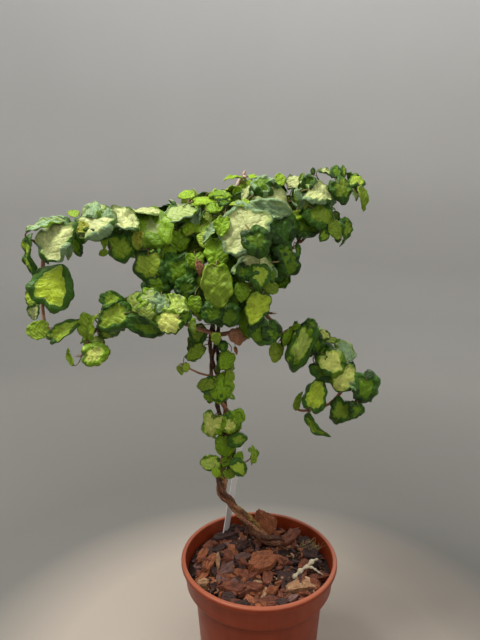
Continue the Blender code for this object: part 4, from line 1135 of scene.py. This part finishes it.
def blades(places, lengths, tips, faces, kinds, shapes, grid, rng):
    """Closed thin blades, all at once. In a blade's own plane a point lies at an angle from the tip and a
    share of the outline's radius; rings of points follow the edge of the patch in its centre. Past
    ROLL_START the surface rolls over on an arc. It is then domed, folded along the midrib, bent at the tip,
    twisted, ruffled at the margin and crinkled. Returns points, slots, maps and where the stalks join."""
    count = len(places)
    sides, inner, outer = grid
    values = np.array([LEAF_SHAPES[shape] + LEAF_KINDS[kind][5:] for shape, kind in zip(shapes, kinds)])
    width, point, notch, roll, fold, dome, bend, crinkle, patch, uneven, mixed = values.T[..., None, None]
    angle = np.linspace(-math.pi, math.pi, sides, endpoint=False)
    spread = lambda low, high: rng.uniform(low, high, (count, 1, 1))
    waves = lambda *orders: ripples(angle, orders, rng, count)
    outline = blade_outline(angle, lengths[:, None, None], point, notch, rng)
    edge, rim = patch_edge(angle, patch, uneven, rng)
    shares = np.concatenate([edge * step for step in inner] + [rim + (1 - rim) * step for step in outer], 1)
    full = shares * outline
    curl = roll * spread(0.4, 1.5) * (1 + 0.7 * waves(2, 3, 4, 6))
    over = np.clip(shares - ROLL_START, 0, None)
    arc_turn = np.where(np.abs(curl * over) < 1e-4, 1e-4, curl * over / (1 - ROLL_START))
    arc_length = over * outline
    reach = np.minimum(full, ROLL_START * outline) + arc_length * np.sin(arc_turn) / arc_turn
    x = reach * np.sin(angle) * width * spread(0.88, 1.06)
    y = reach * np.cos(angle)
    flat = np.stack([full * np.sin(angle), full * np.cos(angle)], -1)
    shifted = flat + rng.uniform(-40, 40, (count, 1, 1, 2))
    z = -arc_length * (1 - np.cos(arc_turn)) / arc_turn
    z = z - dome * spread(0.3, 1.6) * (x**2 + y**2)
    z = z + fold * spread(0.5, 1.4) * np.sqrt(x**2 + 0.0025)
    z = z - bend * spread(0.2, 1.7) * np.clip(y, 0, None) ** 2 * 2
    z = z + spread(-0.35, 0.35) * x * y
    margin = np.clip((shares - edge) / (1 - edge), 0, 1)
    puff = np.sin(math.pi * margin**0.8) * (1 + 0.8 * waves(5, 7, 9))
    z = z + 0.040 * puff * (0.3 + roll)
    z = z + 0.050 * shares**3 * waves(3, 4, 5, 7) * (roll + 0.2)
    z = z + crinkle * lumps(shifted, 0.24, rng, 11) * np.clip(2.2 * shares, 0, 1)
    y = y + 0.5 - (outline * np.cos(angle)).max(-1, keepdims=True)
    own = np.stack([x, y, z], -1) * lengths[:, None, None, None]
    axes = np.stack([np.cross(tips, faces), tips, faces], 1)
    sheet = places[:, None, None] + np.einsum("nrsk,nkc->nrsc", own, axes)
    around = np.roll(sheet, -1, 2) - np.roll(sheet, 1, 2)
    half = 0.5 * BLADE_THICKNESS * unit(np.cross(around, np.gradient(sheet, axis=1)))
    middle, pole_half = sheet[:, 0].mean(1), half[:, 0].mean(1)
    rings = np.concatenate([sheet + half, (sheet - half)[:, ::-1]], 1)
    points = closed_points(middle + pole_half, rings, middle - pole_half)
    pole = np.zeros((count, 1, 2))
    maps = np.concatenate([pole, flat.reshape(count, -1, 2), flat[:, ::-1].reshape(count, -1, 2), pole], 1)
    return points, skin_slots(shifted, angle, grid, kinds, mixed, rng), maps, sheet[:, len(inner), 0]


def build_leaves(groups, masses, rng):
    """The leaves in pieces by spray, each for its own masses. groups holds sets of leaves with the grid of
    each. Returns where each leaf's stalk joins its blade."""
    finishes = [leaf_finish(f"skin_{skin}_{number + 1}", [channel * shade for channel in colour])
                for skin, colour in SKIN.items() for number, shade in enumerate(SHADES)]
    names = masses[0]
    joins = [np.zeros_like(leaves[0]) for leaves, _ in groups]
    for title, starts in PIECES.items():
        covered = [name for name in names if name.startswith(starts)]
        blocks, parts = [], []
        first = 0
        for number, (leaves, grid) in enumerate(groups):
            chosen = [index for index, mass in enumerate(leaves[6]) if names[mass] in covered]
            if not chosen:
                continue
            picked = (column[chosen] for column in leaves[:6])
            points, slots, maps, joins[number][chosen] = blades(*picked, grid, rng)
            sides, rings = grid[0], 2 * (len(grid[1]) + len(grid[2]))
            blocks += [block + first for block in closed_faces(rings, sides, len(chosen))]
            poles = (np.repeat(slots[:, end, 0], sides) for end in (0, -1))
            slots = np.concatenate([next(poles), slots.ravel(), next(poles)])
            parts.append((points.reshape(-1, 3), slots, maps.reshape(-1, 2)))
            first += len(parts[-1][0])
        points, slots, maps = (np.concatenate(column) for column in zip(*parts))
        make_piece(f"leaves_{title}", points, blocks, finishes, covered, slots, uv=maps)
    return joins


def grow_vines(masses, lines, rng):
    """Vines along VINES and from the stem's top into each crown mass, then twigs that fan out inside every
    mass. Returns all lines as arrays of points, with the vines and twigs apart."""
    names, centres, halves = masses
    where = dict(zip(names, centres))
    vines = [[where[stop] if isinstance(stop, str) else stop for stop in row] for row in VINES]
    foot = np.array(CROWN_FOOT, float)
    for name in names:
        if name.startswith("crown"):
            out = where[name] - foot
            vines.append([foot, foot + 0.45 * out + (0, 0, -2), where[name], where[name] + unit(out) * 5])
    paths = []
    for route in vines:
        turn = np.linspace(0, math.tau, VINE_RINGS)
        wander = np.stack([ripples(turn, (2, 5, 9), rng) for _ in range(3)], -1)
        paths.append(smooth_route(route, VINE_RINGS) + 1.1 * wander * np.sin(turn / 2)[:, None])
    samples = np.concatenate([*paths, *lines])
    twigs = []
    for name, centre, half in zip(names, centres, halves):
        start = samples[np.linalg.norm(samples - centre, axis=1).argmin()]
        for _ in range(TWIGS.get(name.split("_")[0], 0)):
            end = centre + unit(rng.normal(size=3) + (0, 0, 0.2)) * half * TWIG_SPREAD
            bow = 0.5 * (start + end) + rng.normal(0, 2, 3) + (0, 0, 1.5)
            twigs.append(smooth_route([start, bow, end], TWIG_RINGS))
    return np.array(paths), np.array(twigs)


def build_shoots(leaves, joins, lines, masses, rng):
    """Vines, twigs, leaf stalks and the pointed bud scales at nodes and tips. A stalk is a curve with one
    control point, from the nearest vine or twig to its blade."""
    places, lengths, tips, faces_out = leaves[:4]
    vines, twigs = grow_vines(masses, lines, rng)
    hidden = np.linalg.norm(twigs[:, None, -1] - places, axis=-1).min(1) < LEAFLESS_REACH
    twigs = twigs[hidden & (beside_sky(twigs).min(1) > 0)]
    nodes = 1 + 0.22 * np.maximum(0, np.cos(np.linspace(0, 60, VINE_RINGS))) ** 6
    tube_piece("vines", vines, np.linspace(1.15, 0.75, VINE_RINGS) * nodes, VINE_SIDES, "vine_bark", 60)
    tube_piece("twigs", twigs, np.linspace(0.75, 0.45, TWIG_RINGS), TWIG_SIDES, "vine_bark", 25)
    samples = np.concatenate([vines.reshape(-1, 3), twigs.reshape(-1, 3), *lines])
    gaps = np.linalg.norm(joins[:, None] - samples[None], axis=-1)
    roots = samples[gaps.argmin(1)]
    gap = gaps.min(1)[:, None]
    control = joins - tips * 0.45 * gap - faces_out * 0.15 * gap
    share = np.linspace(0, 1, STALK_RINGS)[:, None]
    stalks = roots[:, None] * (1 - share) ** 2 + 2 * control[:, None] * share * (1 - share)
    stalks = stalks + joins[:, None] * share**2
    thick = np.linspace(0.50, 0.36, STALK_RINGS) * np.clip(lengths / 20, 0.6, 1.15)[:, None]
    tube_piece("leaf_stalks", stalks, thick, 6, "stalk_skin", 8)
    ends = [(line[-1], unit(line[-1] - line[-4])) for line in (*vines, *twigs)]
    picks = rng.choice(len(roots), len(roots) // 3, replace=False)
    ends += [(roots[index], unit(joins[index] - roots[index] + rng.normal(0, 1, 3))) for index in picks]
    start, way = np.moveaxis(np.array(ends), 1, 0)
    start, way = np.concatenate([start, TIP_BUDS[:, :3]]), np.concatenate([way, unit(TIP_BUDS[:, 3:6])])
    length = np.append(rng.uniform(2.2, 4.6, len(ends)), TIP_BUDS[:, 6])[:, None]
    profile = np.array([0.5, 0.75, 0.85, 0.75, 0.5, 0.25, 0.06])
    share = np.linspace(0, 1, len(profile))[:, None]
    paths = start[:, None] + way[:, None] * share * length[:, None]
    tube_piece("bud_scales", paths, np.clip(0.25 * length, 0.9, 1.5) * profile, 6, "bud_scale", 4)


# ---- stage ----

def add_object(name, data):
    """An object of these data in the scene."""
    made = bpy.data.objects.new(name, data)
    bpy.context.scene.collection.objects.link(made)
    return made


def build_stage():
    """A floor, pale round the plant and greyer far off, that sweeps up into a round backdrop, soft lamps
    above, behind and in front, and the camera. The floor's and backdrop's shades are partly painted light."""
    profile = [(0, -0.6), (300, -0.6), (900, -0.6), *arc((1000, 799.4), 800, -90, 0, 24)]
    profile += [(1800, 2600), (1802, 2600), (1802, -3), (0, -3)]
    points, faces = turned(profile, 96)
    paint = Finish("studio_paint", (0.52, 0.505, 0.48), 0.9)
    away = paint.node("VectorMath", {"operation": "LENGTH"}, {0: paint.place()}, 1)
    stops = [(stop, colour) for stop, *colour in WALL_SHADES]
    # Partly painted light: the floor is pale round the plant and greyer away from it, and the backdrop pales
    # towards its top, where the lamps' light falls off.
    wall = paint.ramp(away * 0.455 + paint.noise(3, 2) * 0.02, *stops)
    paint.set("Base Color", paint.mix(paint.steps(away, *FLOOR_EDGE), FLOOR_SHADE, wall))
    mesh = bpy.data.meshes.new("sweep")
    faces = [face for block in faces for face in block[:, ::-1].tolist()]
    mesh.from_pydata((points[0] * MM).tolist(), [], faces)
    mesh.materials.append(paint.material)
    mesh.shade_smooth()
    sweep = add_object("sweep", mesh)
    for name, place, size, power, colour in LAMPS:
        lamp = bpy.data.lights.new(name, "AREA")
        lamp.shape = "DISK"
        lamp.size = size
        lamp.energy = power
        lamp.color = colour
        holder = add_object(name, lamp)
        holder.location = place
        x, y, z = np.array(LAMP_AIM) - np.array(place)
        holder.rotation_euler = (math.atan2(math.hypot(x, y), -z), 0, math.atan2(y, x) - math.pi / 2)
    world = bpy.data.worlds.new("studio")
    world.use_nodes = True
    world.node_tree.nodes["Background"].inputs[0].default_value = (1.0, 0.98, 0.95, 1)
    world.node_tree.nodes["Background"].inputs[1].default_value = AMBIENT
    bpy.context.scene.world = world
    camera = bpy.data.cameras.new("camera")
    camera.sensor_width = SENSOR
    camera.lens = FOCAL_PIXELS * SENSOR / VIEW_SIZE[1]
    camera.clip_start = 0.01
    holder = add_object("camera", camera)
    holder.location = CAMERA_PLACE * MM
    holder.rotation_euler = (math.radians(90 - CAMERA_PITCH), 0, 0)
    bpy.context.scene.camera = holder
    bpy.context.scene.view_settings.view_transform = "Standard"


def main():
    rng = [np.random.default_rng(SEED + number) for number in range(7)]
    build_stage()
    build_pot()
    build_mix(rng[0])
    build_chips(rng[1])
    build_litter(rng[2])
    build_tag()
    lines = build_wood(rng[3])
    masses = foliage_masses()
    leading = leading_leaves(masses)
    strewn = strewn_leaves(masses, leading, rng[4])
    joins = build_leaves([(leading, LEADING_GRID), (strewn, STREWN_GRID)], masses, rng[5])
    leaves = [np.concatenate(pair) for pair in zip(leading, strewn)]
    build_shoots(leaves, np.concatenate(joins), lines, masses, rng[6])


main()
